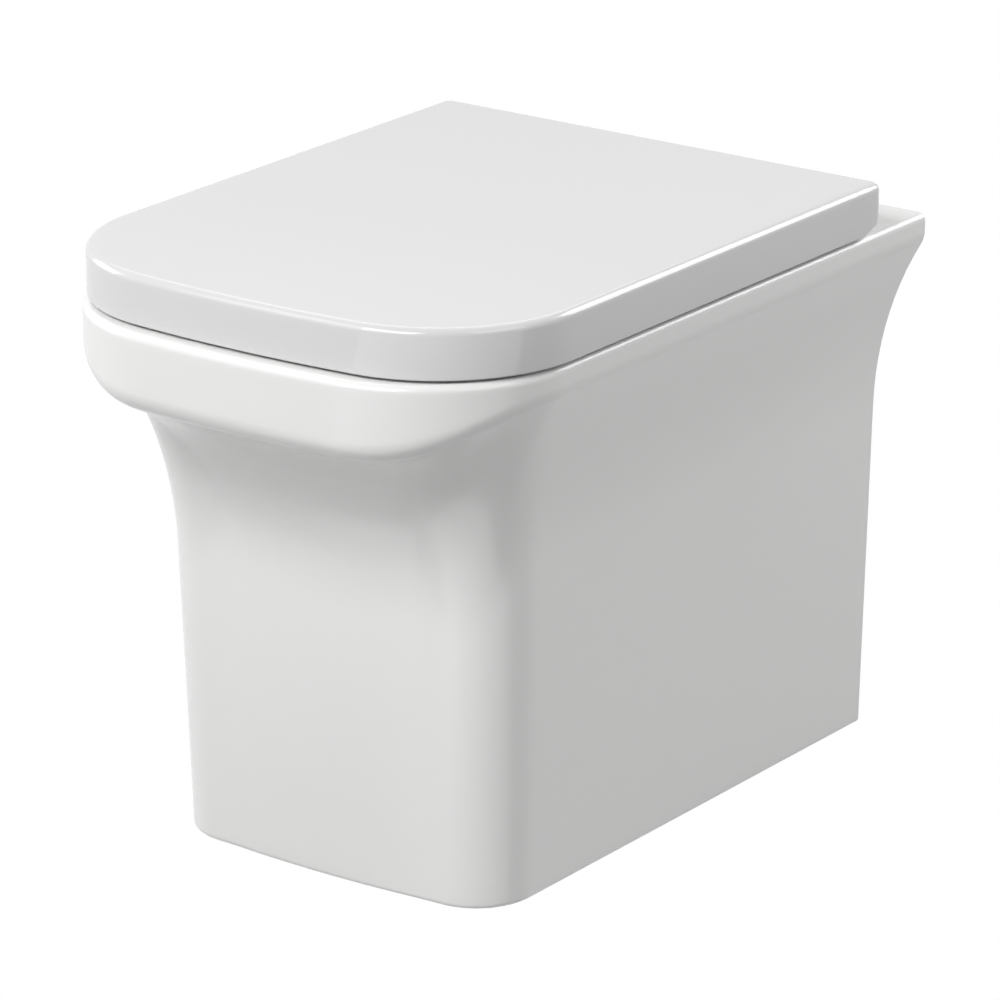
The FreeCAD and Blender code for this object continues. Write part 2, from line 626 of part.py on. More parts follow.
def fix_distance(sketch, kind, expression, *points):
    """Add a dimension to a sketch and tie it to an expression."""
    row = sketch.addConstraint(Sketcher.Constraint(kind, *points, measure(expression)))
    sketch.setExpression("Constraints[%d]" % row, expression)


ORIGIN = (-1, 1)
ACROSS = -1
UPWARDS = -2


def fix_point(sketch, curve, end, x, y):
    """Fix one point of a curve from the sketch's origin."""
    if x == "0":
        sketch.addConstraint(Sketcher.Constraint("PointOnObject", curve, end, UPWARDS))
    else:
        fix_distance(sketch, "DistanceX", x, *ORIGIN, curve, end)
    if y == "0":
        sketch.addConstraint(Sketcher.Constraint("PointOnObject", curve, end, ACROSS))
    else:
        fix_distance(sketch, "DistanceY", y, *ORIGIN, curve, end)


def draw_circle(sketch, radius, x="0", y="0"):
    """Circle with a fixed centre."""
    centre = Vector(measure(x), measure(y), 0)
    curve = sketch.addGeometry(Part.Circle(centre, Z_AXIS, measure(radius)))
    fix_distance(sketch, "Radius", radius, curve)
    fix_point(sketch, curve, 3, x, y)


def draw_polygon(sketch, corners):
    """Closed run of straight lines through fixed corners."""
    places = [Vector(measure(x), measure(y), 0) for x, y in corners]
    lines = [sketch.addGeometry(Part.LineSegment(start, end))
             for start, end in zip(places, places[1:] + places[:1])]
    for line, following in zip(lines, lines[1:] + lines[:1]):
        sketch.addConstraint(Sketcher.Constraint("Coincident", line, 2, following, 1))
    for line, (x, y) in zip(lines, corners):
        fix_point(sketch, line, 1, x, y)


def draw_box(sketch, left, right, low, high):
    """Rectangle between two widths and two heights."""
    draw_polygon(sketch, [(left, low), (right, low), (right, high), (left, high)])


def draw_hexagon(sketch, flats):
    """Regular hexagon round the origin, flats apart."""
    reach = "(%s / sqrt(3))" % flats
    half = "(%s / sqrt(3) / 2)" % flats
    side = "(%s / 2)" % flats
    draw_polygon(sketch, [(reach, "0"), (half, side), ("-" + half, side),
                          ("-" + reach, "0"), ("-" + half, "-" + side), (half, "-" + side)])


def draw_key(sketch, radius, flats, x="0", y="0"):
    """Round shaft with two flats: lines at the flats joined by arcs."""
    centre = Vector(measure(x), measure(y), 0)
    side = measure(flats) / 2
    rise = math.sqrt(measure(radius) ** 2 - side ** 2)
    turn = math.asin(side / measure(radius))
    corner = Vector(side, rise, 0)
    across = Vector(-side, rise, 0)
    right = sketch.addGeometry(Part.LineSegment(centre - across, centre + corner))
    left = sketch.addGeometry(Part.LineSegment(centre + across, centre - corner))
    circle = Part.Circle(centre, Z_AXIS, measure(radius))
    top = sketch.addGeometry(Part.ArcOfCircle(circle, math.pi / 2 - turn, math.pi / 2 + turn))
    low = sketch.addGeometry(Part.ArcOfCircle(circle, 1.5 * math.pi - turn, 1.5 * math.pi + turn))
    for first, second in ((right, top), (top, left), (left, low), (low, right)):
        sketch.addConstraint(Sketcher.Constraint("Coincident", first, 2, second, 1))
    for line in (right, left):
        sketch.addConstraint(Sketcher.Constraint("Vertical", line))
    sketch.addConstraint(Sketcher.Constraint("Coincident", top, 3, low, 3))
    fix_distance(sketch, "Radius", radius, top)
    fix_distance(sketch, "DistanceX", flats, left, 1, right, 2)
    sketch.addConstraint(Sketcher.Constraint("Equal", right, left))
    fix_point(sketch, top, 3, x, y)


def draw_outline(sketch, half_width, depth, setback, front_radius, corner_radius):
    """Bowed outline in plan: rear line, two sides, two corner arcs and the front arc, all tangent."""
    plan = Plan(measure(half_width), measure(depth), measure(front_radius), measure(corner_radius))
    rear = -measure(setback)
    half = plan.half_width
    other_corner = Vector(-plan.corner.x, plan.corner.y, 0)
    corner_turn = math.pi / 2 - plan.lean
    rear_line = sketch.addGeometry(Part.LineSegment(Vector(half, rear, 0), Vector(-half, rear, 0)))
    left = sketch.addGeometry(Part.LineSegment(Vector(-half, rear, 0), Vector(-half, plan.corner.y, 0)))
    left_arc = sketch.addGeometry(Part.ArcOfCircle(
        Part.Circle(other_corner, Z_AXIS, plan.corner_radius), math.pi, math.pi + corner_turn))
    front = sketch.addGeometry(Part.ArcOfCircle(
        Part.Circle(plan.front, Z_AXIS, plan.front_radius), math.pi + corner_turn, 2 * math.pi - corner_turn))
    right_arc = sketch.addGeometry(Part.ArcOfCircle(
        Part.Circle(plan.corner, Z_AXIS, plan.corner_radius), 2 * math.pi - corner_turn, 2 * math.pi))
    right = sketch.addGeometry(Part.LineSegment(Vector(half, plan.corner.y, 0), Vector(half, rear, 0)))
    sketch.addConstraint(Sketcher.Constraint("Coincident", rear_line, 2, left, 1))
    sketch.addConstraint(Sketcher.Constraint("Coincident", right, 2, rear_line, 1))
    for first, second in ((left, left_arc), (left_arc, front), (front, right_arc), (right_arc, right)):
        sketch.addConstraint(Sketcher.Constraint("Tangent", first, 2, second, 1))
    sketch.addConstraint(Sketcher.Constraint("Horizontal", rear_line))
    sketch.addConstraint(Sketcher.Constraint("Vertical", left))
    sketch.addConstraint(Sketcher.Constraint("Vertical", right))
    sketch.addConstraint(Sketcher.Constraint("Equal", left_arc, right_arc))
    fix_distance(sketch, "Radius", corner_radius, right_arc)
    fix_distance(sketch, "Radius", front_radius, front)
    fix_distance(sketch, "DistanceX", half_width, *ORIGIN, right, 2)
    fix_distance(sketch, "DistanceX", "-(%s)" % half_width, *ORIGIN, left, 1)
    fix_distance(sketch, "DistanceY", "-(%s)" % setback, *ORIGIN, right, 2)
    fix_point(sketch, front, 3, "0", "(%s) - (%s)" % (front_radius, depth))


def draw_rounded_box(sketch, half_width, front, rear, radius):
    """Rectangle in plan with four equal round corners; front and rear count from the wall outwards."""
    half = measure(half_width)
    corner = measure(radius)
    low = -measure(front)
    high = -measure(rear)
    lines = []
    for start, end in (((half, low + corner), (half, high - corner)),
                       ((half - corner, high), (corner - half, high)),
                       ((-half, high - corner), (-half, low + corner)),
                       ((corner - half, low), (half - corner, low))):
        lines.append(sketch.addGeometry(Part.LineSegment(Vector(*start, 0), Vector(*end, 0))))
    arcs = []
    for turn, (x, y) in enumerate(((half - corner, high - corner), (corner - half, high - corner),
                                   (corner - half, low + corner), (half - corner, low + corner))):
        circle = Part.Circle(Vector(x, y, 0), Z_AXIS, corner)
        start = turn * math.pi / 2
        arcs.append(sketch.addGeometry(Part.ArcOfCircle(circle, start, start + math.pi / 2)))
    for line, arc, following in zip(lines, arcs, lines[1:] + lines[:1]):
        sketch.addConstraint(Sketcher.Constraint("Tangent", line, 2, arc, 1))
        sketch.addConstraint(Sketcher.Constraint("Tangent", arc, 2, following, 1))
    for line, direction in zip(lines, ("Vertical", "Horizontal", "Vertical", "Horizontal")):
        sketch.addConstraint(Sketcher.Constraint(direction, line))
    for arc in arcs[1:]:
        sketch.addConstraint(Sketcher.Constraint("Equal", arcs[0], arc))
    fix_distance(sketch, "Radius", radius, arcs[0])
    fix_distance(sketch, "DistanceX", half_width, *ORIGIN, lines[0], 1)
    fix_distance(sketch, "DistanceX", "-(%s)" % half_width, *ORIGIN, lines[2], 1)
    fix_distance(sketch, "DistanceY", "-(%s)" % rear, *ORIGIN, lines[1], 1)
    fix_distance(sketch, "DistanceY", "-(%s)" % front, *ORIGIN, lines[3], 1)


def pad(body, sketch, length):
    """Grow a sketch along its normal."""
    feature = body.newObject("PartDesign::Pad", "pad")
    feature.Profile = sketch
    bind(feature, Length=length)
    return feature


def pocket(body, sketch, length, along_normal=True):
    """Cut a sketch out, along its normal or against it."""
    feature = body.newObject("PartDesign::Pocket", "pocket")
    feature.Profile = sketch
    feature.Reversed = along_normal
    bind(feature, Length=length)
    return feature


def revolve(body, sketch):
    """Turn a sketch once round its upright axis."""
    feature = body.newObject("PartDesign::Revolution", "revolution")
    feature.Profile = sketch
    feature.ReferenceAxis = (sketch, ["V_Axis"])
    feature.Angle = 360
    return feature


def fillet(body, base, radius, chosen):
    """Round the edges of a feature that pass a test."""
    doc.recompute()
    edges = ["Edge%d" % row for row, edge in enumerate(base.Shape.Edges, start=1) if chosen(edge)]
    feature = body.newObject("PartDesign::Fillet", "fillet")
    feature.Base = (base, edges)
    bind(feature, Radius=radius)
    return feature


def keep_pair(body, label):
    """One sub-part that holds a piece and its twin on the other side."""
    twin = doc.addObject("Part::Mirroring", "twin")
    twin.Source = body
    twin.Normal = X_AXIS
    pair = doc.addObject("Part::Compound", label)
    pair.Links = [body, twin]
    return keep(pair, label)


def is_level(edge, level):
    """Whether an edge lies in one horizontal plane."""
    return abs(edge.BoundBox.ZMin - level) < 0.01 and abs(edge.BoundBox.ZMax - level) < 0.01


def make_fixings():
    """Plastic sleeve, washer and nut for each wall stud."""
    stud = "sizes.stud_centres_width / 2"
    bore = "sizes.stud_radius + sizes.stud_clearance"

    sleeve = new_body("sleeve", stud)
    sketch = new_sketch(sleeve, "XZ_Plane")
    draw_circle(sketch, SLEEVE_RADIUS)
    draw_circle(sketch, bore)
    pad(sleeve, sketch, "sizes.bridge_depth")
    sketch = new_sketch(sleeve, "XZ_Plane", "sizes.bridge_depth")
    draw_circle(sketch, "%s + sizes.sleeve_flange" % SLEEVE_RADIUS)
    draw_circle(sketch, bore)
    pad(sleeve, sketch, "sizes.sleeve_flange_thickness")
    keep_pair(sleeve, "fixing_sleeves")

    washer_face = "sizes.bridge_depth + sizes.sleeve_flange_thickness"
    washer = new_body("washer", stud)
    sketch = new_sketch(washer, "XZ_Plane", washer_face)
    draw_circle(sketch, "sizes.fixing_washer_radius")
    draw_circle(sketch, bore)
    pad(washer, sketch, "sizes.fixing_washer_thickness")
    keep_pair(washer, "fixing_washers")

    nut = new_body("nut", stud)
    sketch = new_sketch(nut, "XZ_Plane", "%s + sizes.fixing_washer_thickness" % washer_face)
    draw_hexagon(sketch, "sizes.fixing_nut_flats")
    draw_circle(sketch, bore)
    pad(nut, sketch, "sizes.fixing_nut_height")
    keep_pair(nut, "fixing_nuts")


def make_inlet_seal():
    """Rubber sleeve in the inlet horn, with a collar on the horn's end."""
    seal = new_body("inlet_seal", z="sizes.inlet_rise")
    sketch = new_sketch(seal, "XZ_Plane", "sizes.horn_setback")
    draw_circle(sketch, "sizes.inlet_radius - sizes.fit_clearance")
    draw_circle(sketch, "sizes.flush_pipe_radius")
    pad(seal, sketch, "sizes.inlet_seal_length")
    sketch = new_sketch(seal, "XZ_Plane", "sizes.horn_setback - sizes.inlet_seal_lip_thickness")
    draw_circle(sketch, "sizes.inlet_radius + sizes.inlet_seal_lip")
    draw_circle(sketch, "sizes.flush_pipe_radius")
    pad(seal, sketch, "sizes.inlet_seal_lip_thickness")
    keep(seal, "inlet_seal")


def add_lug(body, near, arm):
    """Hinge lug and the arm that joins it to the moulding, from one width to lug_width further right."""
    sketch = new_sketch(body, "YZ_Plane", near)
    draw_circle(sketch, "sizes.lug_radius", AXIS_Y, AXIS_Z)
    pad(body, sketch, "sizes.lug_width")
    sketch = new_sketch(body, "YZ_Plane", near)
    draw_polygon(sketch, arm)
    return pad(body, sketch, "sizes.lug_width")


def bore_lug(body, near, keyed):
    """Hole through a lug: round for a pin, or with two flats for a damper rotor."""
    sketch = new_sketch(body, "YZ_Plane", near)
    radius = "sizes.shaft_radius + sizes.shaft_clearance"
    if keyed:
        draw_key(sketch, radius, "sizes.key_flats + 2 * sizes.shaft_clearance", AXIS_Y, AXIS_Z)
    else:
        draw_circle(sketch, radius, AXIS_Y, AXIS_Z)
    return pocket(body, sketch, "sizes.lug_width")


def make_lid():
    """Wrap-over cover: bowed outline, rounded top edge, hollow below, raised rear lip, two lugs."""
    lid = new_body("lid")
    inside_half_width = "(%s - sizes.lid_wall)" % LID_HALF_WIDTH
    inside_rear = "(sizes.lid_setback + sizes.lid_wall)"
    sketch = new_sketch(lid, "XY_Plane", LID_BOTTOM)
    draw_outline(sketch, LID_HALF_WIDTH, LID_DEPTH, "sizes.lid_setback",
                 "sizes.lid_front_radius", "sizes.lid_corner_radius")
    block = pad(lid, sketch, "sizes.lid_height")
    rear = -size("lid_setback")
    uprights = fillet(lid, block, "sizes.lid_rear_radius",
                      lambda edge: edge.BoundBox.ZLength > 1 and edge.BoundBox.YMin > rear - 0.01)
    top = measure(LID_TOP)
    fillet(lid, uprights, "sizes.lid_edge_radius", lambda edge: is_level(edge, top))

    sketch = new_sketch(lid, "XY_Plane", LID_BOTTOM)
    draw_outline(sketch, inside_half_width, "%s - sizes.lid_wall" % LID_DEPTH, inside_rear,
                 "sizes.lid_front_radius - sizes.lid_wall", "sizes.lid_corner_radius - sizes.lid_wall")
    pocket(lid, sketch, "sizes.lid_height - sizes.lid_wall")

    sketch = new_sketch(lid, "YZ_Plane", "-2 * %s" % LID_HALF_WIDTH)
    heel_y = "-(sizes.lid_setback + sizes.lid_heel_radius)"
    draw_heel(sketch, heel_y, LIP_BOTTOM)
    pocket(lid, sketch, "4 * %s" % LID_HALF_WIDTH)
    sketch = new_sketch(lid, "XY_Plane", LID_BOTTOM)
    draw_box(sketch, "-" + inside_half_width, inside_half_width,
             "-(%s + sizes.lid_wall)" % inside_rear, "-(sizes.lid_setback - sizes.lid_wall)")
    pocket(lid, sketch, "sizes.lid_heel_radius")

    right = "sizes.hinge_centres_width / 2 + %s" % LUG_NEAR
    left = "-(sizes.hinge_centres_width / 2 + %s)" % LUG_FAR
    arm_end = "-(sizes.lid_setback + sizes.arm_length)"
    rib_start = "-(sizes.lid_setback + sizes.lid_wall / 2)"
    lug_top = "(%s + sizes.lug_radius)" % AXIS_Z
    arm = [(arm_end, LIP_BOTTOM), (AXIS_Y, AXIS_Z), (AXIS_Y, lug_top),
           (rib_start, lug_top), (rib_start, LID_CEILING), (arm_end, LID_CEILING)]
    for near in (right, left):
        add_lug(lid, near, arm)
    bore_lug(lid, right, True)
    bore_lug(lid, left, False)
    keep(lid, "seat_lid")


def draw_heel(sketch, y, z):
    """Region behind and below the round heel of the lid, seen from the side."""
    radius = size("lid_heel_radius")
    centre = Vector(measure(y), measure(z), 0)
    rear = centre + Vector(radius, 0, 0)
    below = centre - Vector(0, radius, 0)
    outer = centre + Vector(2 * radius, -2 * radius, 0)
    circle = Part.Circle(centre, Z_AXIS, radius)
    arc = sketch.addGeometry(Part.ArcOfCircle(circle, 1.5 * math.pi, 2 * math.pi))
    runs = [(rear, Vector(outer.x, rear.y, 0)), (Vector(outer.x, rear.y, 0), outer),
            (outer, Vector(below.x, outer.y, 0)), (Vector(below.x, outer.y, 0), below)]
    lines = [sketch.addGeometry(Part.LineSegment(start, end)) for start, end in runs]
    sketch.addConstraint(Sketcher.Constraint("Coincident", arc, 2, lines[0], 1))
    for line, following in zip(lines, lines[1:]):
        sketch.addConstraint(Sketcher.Constraint("Coincident", line, 2, following, 1))
    sketch.addConstraint(Sketcher.Constraint("Coincident", lines[3], 2, arc, 1))
    for line, direction in zip(lines, ("Horizontal", "Vertical", "Horizontal", "Vertical")):
        sketch.addConstraint(Sketcher.Constraint(direction, line))
    fix_distance(sketch, "Radius", "sizes.lid_heel_radius", arc)
    fix_distance(sketch, "DistanceX", "sizes.lid_heel_radius", lines[0], 1, lines[0], 2)
    fix_distance(sketch, "DistanceY", "-sizes.lid_heel_radius", lines[3], 2, lines[3], 1)
    fix_point(sketch, arc, 3, y, z)
    sketch.addConstraint(Sketcher.Constraint("Vertical", arc, 3, arc, 1))
    sketch.addConstraint(Sketcher.Constraint("Horizontal", arc, 3, arc, 2))


def make_ring():
    """Seat ring inside the lid: rounded top edges, hollow underside, opening and two lugs."""
    ring = new_body("ring")
    inset = "(sizes.lid_wall + sizes.ring_gap)"
    half_width = "%s - %s" % (LID_HALF_WIDTH, inset)
    depth = "%s - %s" % (LID_DEPTH, inset)
    front_radius = "sizes.lid_front_radius - %s" % inset
    corner_radius = "sizes.lid_corner_radius - %s" % inset
    opening_half_width = "(%s - sizes.ring_side_width)" % LID_HALF_WIDTH
    opening_front = "(%s - sizes.ring_front_width)" % LID_DEPTH
    opening_rear = "(sizes.ring_setback + sizes.ring_rear_width)"
    opening_radius = "(%s - sizes.ring_opening_flat / 2)" % opening_half_width
    wall = "sizes.ring_under_wall"

    sketch = new_sketch(ring, "XY_Plane", RING_BOTTOM)
    draw_outline(sketch, half_width, depth, "sizes.ring_setback", front_radius, corner_radius)
    draw_rounded_box(sketch, opening_half_width, opening_front, opening_rear, opening_radius)
    block = pad(ring, sketch, "sizes.ring_thickness")
    rear = -size("ring_setback")
    uprights = fillet(ring, block, "sizes.ring_rear_radius",
                      lambda edge: edge.BoundBox.ZLength > 1 and edge.BoundBox.YMin > rear - 0.01)
    top = measure(RING_TOP)
    fillet(ring, uprights, "sizes.ring_edge_radius", lambda edge: is_level(edge, top))

    sketch = new_sketch(ring, "XY_Plane", RING_BOTTOM)
    draw_outline(sketch, "%s - %s" % (half_width, wall), "%s - %s" % (depth, wall),
                 "sizes.ring_setback + %s" % wall, "%s - %s" % (front_radius, wall),
                 "%s - %s" % (corner_radius, wall))
    draw_rounded_box(sketch, "%s + %s" % (opening_half_width, wall), "(%s + %s)" % (opening_front, wall),
                     "(%s - %s)" % (opening_rear, wall), "%s + %s" % (opening_radius, wall))
    pocket(ring, sketch, "sizes.ring_under_depth")

    right = "sizes.hinge_centres_width / 2 - %s" % LUG_FAR
    left = "-(sizes.hinge_centres_width / 2 - %s)" % LUG_NEAR
    arm_end = "-(sizes.ring_setback + sizes.ring_edge_radius)"
    arm_low = "(%s - sizes.arm_height)" % RING_TOP
    for near in (right, left):
        add_lug(ring, near, [(arm_end, arm_low), (AXIS_Y, arm_low), (AXIS_Y, RING_TOP), (arm_end, RING_TOP)])
    bore_lug(ring, right, False)
    bore_lug(ring, left, True)
    keep(ring, "seat_ring")


def make_buffers(label, front, rear, low, high):
    """Four rubber blocks, two each side, between two levels."""
    buffers = new_body("buffers")
    buffers.AllowCompound = True
    sketch = new_sketch(buffers, "XY_Plane", low)
    out = "(%s - sizes.buffer_side_inset)" % LID_HALF_WIDTH
    for place in (front, rear):
        for side in ("", "-"):
            draw_box(sketch, "%s%s - sizes.buffer_width / 2" % (side, out),
                     "%s%s + sizes.buffer_width / 2" % (side, out),
                     "-%s - sizes.buffer_length / 2" % place, "-%s + sizes.buffer_length / 2" % place)
    block = pad(buffers, sketch, "%s - %s" % (high, low))
    rounded = fillet(buffers, block, "sizes.buffer_corner_radius", lambda edge: edge.BoundBox.ZLength > 1)
    level = measure(low)
    fillet(buffers, rounded, "sizes.buffer_edge_radius", lambda edge: is_level(edge, level))
    keep(buffers, label)


def hinge_body(name):
    """Empty body with its origin on the deck at the right seat fixing hole."""
    return new_body(name, "sizes.hinge_centres_width / 2", AXIS_Y, DECK)


def make_hinge_mounts():
    """What holds each hinge to the deck: pad, plate, bolt, expanding plug and nut."""
    bolt_bore = "(sizes.bolt_radius + sizes.fit_clearance)"
    plate_low = "sizes.gasket_thickness"
    plate_high = "(sizes.gasket_thickness + sizes.plate_thickness)"
    spigot_high = "(%s + sizes.spigot_height)" % plate_high
    head_low = "(%s - sizes.bolt_head_depth)" % spigot_high
    plate_radius = "(sizes.gasket_radius - sizes.plate_inset)"
    bulge_radius = "(sizes.seat_hole_radius + sizes.plug_bulge)"
    bulge_low = "(-sizes.deck_thickness - sizes.plug_bulge_length)"
    plug_radius = "(sizes.seat_hole_radius - sizes.fit_clearance)"

    gasket = hinge_body("gasket")
    sketch = new_sketch(gasket, "XY_Plane")
    draw_circle(sketch, "sizes.gasket_radius")
    draw_circle(sketch, "sizes.seat_hole_radius")
    pad(gasket, sketch, "sizes.gasket_thickness")
    keep_pair(gasket, "hinge_gaskets")

    plate = hinge_body("plate")
    sketch = new_sketch(plate, "XZ_Plane")
    draw_polygon(sketch, [(bolt_bore, plate_low), (plate_radius, plate_low), (plate_radius, plate_high),
                          ("sizes.spigot_radius", plate_high), ("sizes.spigot_radius", spigot_high),
                          ("sizes.bolt_head_radius + sizes.fit_clearance", spigot_high),
                          (bolt_bore, head_low)])
    revolve(plate, sketch)
    keep_pair(plate, "hinge_base_plates")

    bolt = hinge_body("bolt")
    sketch = new_sketch(bolt, "XZ_Plane")
    draw_polygon(sketch, [("0", "-sizes.bolt_length"), ("sizes.bolt_radius", "-sizes.bolt_length"),
                          ("sizes.bolt_radius", head_low), ("sizes.bolt_head_radius", spigot_high),
                          ("0", spigot_high)])
    revolve(bolt, sketch)
    keep_pair(bolt, "hinge_bolts")

    plug = hinge_body("plug")
    sketch = new_sketch(plug, "XZ_Plane")
    draw_polygon(sketch, [(bolt_bore, bulge_low), (plug_radius, bulge_low),
                          (bulge_radius, "%s + sizes.plug_bulge" % bulge_low),
                          (bulge_radius, "-sizes.deck_thickness"),
                          (plug_radius, "-sizes.deck_thickness"), (plug_radius, "0"), (bolt_bore, "0")])
    revolve(plug, sketch)
    keep_pair(plug, "hinge_plugs")

    nut = hinge_body("plug_nut")
    sketch = new_sketch(nut, "XY_Plane", "%s - sizes.plug_nut_height" % bulge_low)
    draw_hexagon(sketch, "sizes.plug_nut_flats")
    draw_circle(sketch, bolt_bore)
    pad(nut, sketch, "sizes.plug_nut_height")
    keep_pair(nut, "hinge_plug_nuts")


def make_hinge(side, sign, rotor_label):
    """Post with its damper on the right and its plain pin on the left, at one end of the hinge axis."""
    x = "%ssizes.hinge_centres_width / 2" % sign
    half = "sizes.post_width / 2"
    foot = "-(%s - %s)" % (AXIS_Z, PLATE_TOP)

    post = new_body("post", x, AXIS_Y, AXIS_Z)
    sketch = new_sketch(post, "YZ_Plane", "-" + half)
    draw_box(sketch, "-sizes.barrel_radius", "sizes.barrel_radius", foot, "0")
    pad(post, sketch, "sizes.post_width")
    sketch = new_sketch(post, "YZ_Plane", "-" + half)
    draw_circle(sketch, "sizes.barrel_radius")
    pad(post, sketch, "sizes.post_width")
    sketch = new_sketch(post, "XY_Plane", foot)
    draw_circle(sketch, "sizes.spigot_radius + sizes.fit_clearance")
    pocket(post, sketch, "sizes.spigot_height + sizes.fit_clearance")
    sketch = new_sketch(post, "YZ_Plane", half)
    draw_circle(sketch, "sizes.damper_radius + sizes.fit_clearance")
    pocket(post, sketch, "sizes.damper_length", False)
    sketch = new_sketch(post, "YZ_Plane", "-" + half)
    draw_circle(sketch, "sizes.shaft_radius")
    pocket(post, sketch, "sizes.pin_depth")
    keep(post, "hinge_post_" + side)

    damper_start = "(%s - sizes.damper_length)" % half
    bore = "(sizes.damper_radius - sizes.damper_wall)"
    housing = new_body("damper", x, AXIS_Y, AXIS_Z)
    sketch = new_sketch(housing, "YZ_Plane", damper_start)
    draw_circle(sketch, "sizes.damper_radius")
    pad(housing, sketch, "sizes.damper_length")
    sketch = new_sketch(housing, "YZ_Plane", half)
    draw_circle(sketch, bore)
    pocket(housing, sketch, "sizes.damper_length - sizes.damper_wall", False)
    keep(housing, "damper_body_" + side)

    drum_start = "(%s + sizes.damper_wall + sizes.rotor_clearance)" % damper_start
    rotor = new_body("rotor", x, AXIS_Y, AXIS_Z)
    sketch = new_sketch(rotor, "YZ_Plane", drum_start)
    draw_circle(sketch, "%s - sizes.rotor_clearance" % bore)
    pad(rotor, sketch, "%s - %s" % (half, drum_start))
    sketch = new_sketch(rotor, "YZ_Plane", half)
    draw_key(sketch, "sizes.shaft_radius", "sizes.key_flats")
    pad(rotor, sketch, "sizes.lug_gap + sizes.lug_width")
    keep(rotor, rotor_label)

    pin = new_body("pin", x, AXIS_Y, AXIS_Z)
    sketch = new_sketch(pin, "YZ_Plane", "-%s" % LUG_FAR)
    draw_circle(sketch, "sizes.shaft_radius")
    pad(pin, sketch, "sizes.lug_width + sizes.lug_gap + sizes.pin_depth")
    keep(pin, "pivot_pin_" + side)


make_pan()
make_inlet_seal()
make_fixings()
make_lid()
make_ring()
make_buffers("seat_buffers", "(%s - sizes.seat_buffer_front_inset)" % LID_DEPTH,
             "(sizes.ring_setback + sizes.seat_buffer_rear_inset)",
             "(%s + sizes.buffer_clearance)" % DECK, "(%s + sizes.ring_under_depth)" % RING_BOTTOM)
make_buffers("lid_buffers", "(%s - sizes.lid_buffer_front_inset)" % LID_DEPTH,
             "(sizes.ring_setback + sizes.lid_buffer_rear_inset)",
             "(%s + sizes.buffer_clearance)" % RING_TOP, LID_CEILING)
make_hinge_mounts()
make_hinge("right", "", "damper_rotor_lid")
make_hinge("left", "-", "damper_rotor_seat")
doc.recompute()

for item in doc.Objects:
    if "Invalid" in item.State or "Error" in item.State:
        raise RuntimeError("feature failed: %s %s" % (item.Name, item.State))
for part in sub_parts:
    if part.Shape.isNull() or not part.Shape.isValid():
        raise RuntimeError("bad shape: " + part.Label)
os.makedirs("parts", exist_ok=True)
for part in sub_parts:
    part.Shape.exportStep("parts/%s.step" % part.Label)
    box = part.Shape.BoundBox
    print(part.Label, len(part.Shape.Solids), "solids", round(part.Shape.Volume / 1000, 2), "ml, x",
          round(box.XMin, 2), round(box.XMax, 2), "y", round(box.YMin, 2), round(box.YMax, 2),
          "z", round(box.ZMin, 2), round(box.ZMax, 2))
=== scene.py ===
"""Looks of a wall hung toilet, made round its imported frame: glazed pan, wrap-over lid and seat ring."""
import math

import bmesh
import bpy
import numpy as np
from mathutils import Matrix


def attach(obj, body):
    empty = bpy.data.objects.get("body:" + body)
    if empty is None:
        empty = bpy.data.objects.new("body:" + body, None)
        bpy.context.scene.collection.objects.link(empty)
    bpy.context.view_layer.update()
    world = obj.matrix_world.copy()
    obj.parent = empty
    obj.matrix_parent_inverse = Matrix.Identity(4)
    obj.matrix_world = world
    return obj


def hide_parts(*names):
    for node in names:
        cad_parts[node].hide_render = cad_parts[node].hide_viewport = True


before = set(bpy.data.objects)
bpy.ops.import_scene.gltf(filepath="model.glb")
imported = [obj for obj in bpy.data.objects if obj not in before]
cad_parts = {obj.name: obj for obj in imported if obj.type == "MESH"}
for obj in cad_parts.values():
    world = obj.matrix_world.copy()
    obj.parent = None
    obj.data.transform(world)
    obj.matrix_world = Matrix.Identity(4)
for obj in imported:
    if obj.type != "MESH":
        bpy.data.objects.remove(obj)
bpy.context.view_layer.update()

bl_info = {
    "name": "Wall hung toilet",
    "version": (1, 0, 0),
    "blender": (4, 5, 0),
    "location": "3D View > Sidebar > Toilet",
    "description": "Glazed pan, wrap-over lid and seat ring on the frame of a wall hung toilet",
    "category": "Mesh",
}

# Gaps and slacks in metres
MERGE_GAP = 2e-5
SLIVER = 1e-6
LUG_SLACK = 2e-4
SKIN_SLACK = 5e-4
DECK_SLACK = 5e-5
COVER_CLEAR = 3e-4

# Faces that meet at more than this angle keep a sharp edge
SHARP_ANGLE = math.radians(35)

# Turns through a quarter-round edge
QUARTER = np.linspace(0, math.pi / 2, 9)

# Points up each run of the pan's profile, from its foot to the rim's top edge
PROFILE_POINTS = dict(foot=9, skirt=40, hollow=46, round=17, upright=8, brow=13)

# Stations along the rim: its side, the side's last run up to the corner, the corner, half the front
RIM_STATIONS = (18, 16, 64, 36)
CORNER_RUN_UP = 0.06

# Points on each corner, and between two corners, of an opening
OPENING_POINTS = 40

# Points on the stretches of half the lid's and the ring's outline
LOOP_POINTS = dict(rear=24, rear_corner=12, side=30, corner=40, front=26)

# Points along the deck's edge at the wall, and rows across the deck, down the throat and across the ring
WALL_POINTS = 40
DECK_ROWS = 5
THROAT_ROWS = 4
RING_ROWS = 6

# Shares of the way in from the lid's edge to its middle
LID_STEPS = np.array([0.04, 0.25, 0.6, 1.0])

# Rounds of halving, and of correcting the neck's level
HALVINGS = 40
CORRECTIONS = 8


def length(name, default, note):
    """A size in metres."""
    return bpy.props.FloatProperty(name=name, description=note, default=default,
                                   unit="LENGTH", precision=4)


def angle(name, degrees, note):
    """An angle, given in degrees and kept in radians."""
    return bpy.props.FloatProperty(name=name, description=note, default=math.radians(degrees),
                                   subtype="ANGLE")


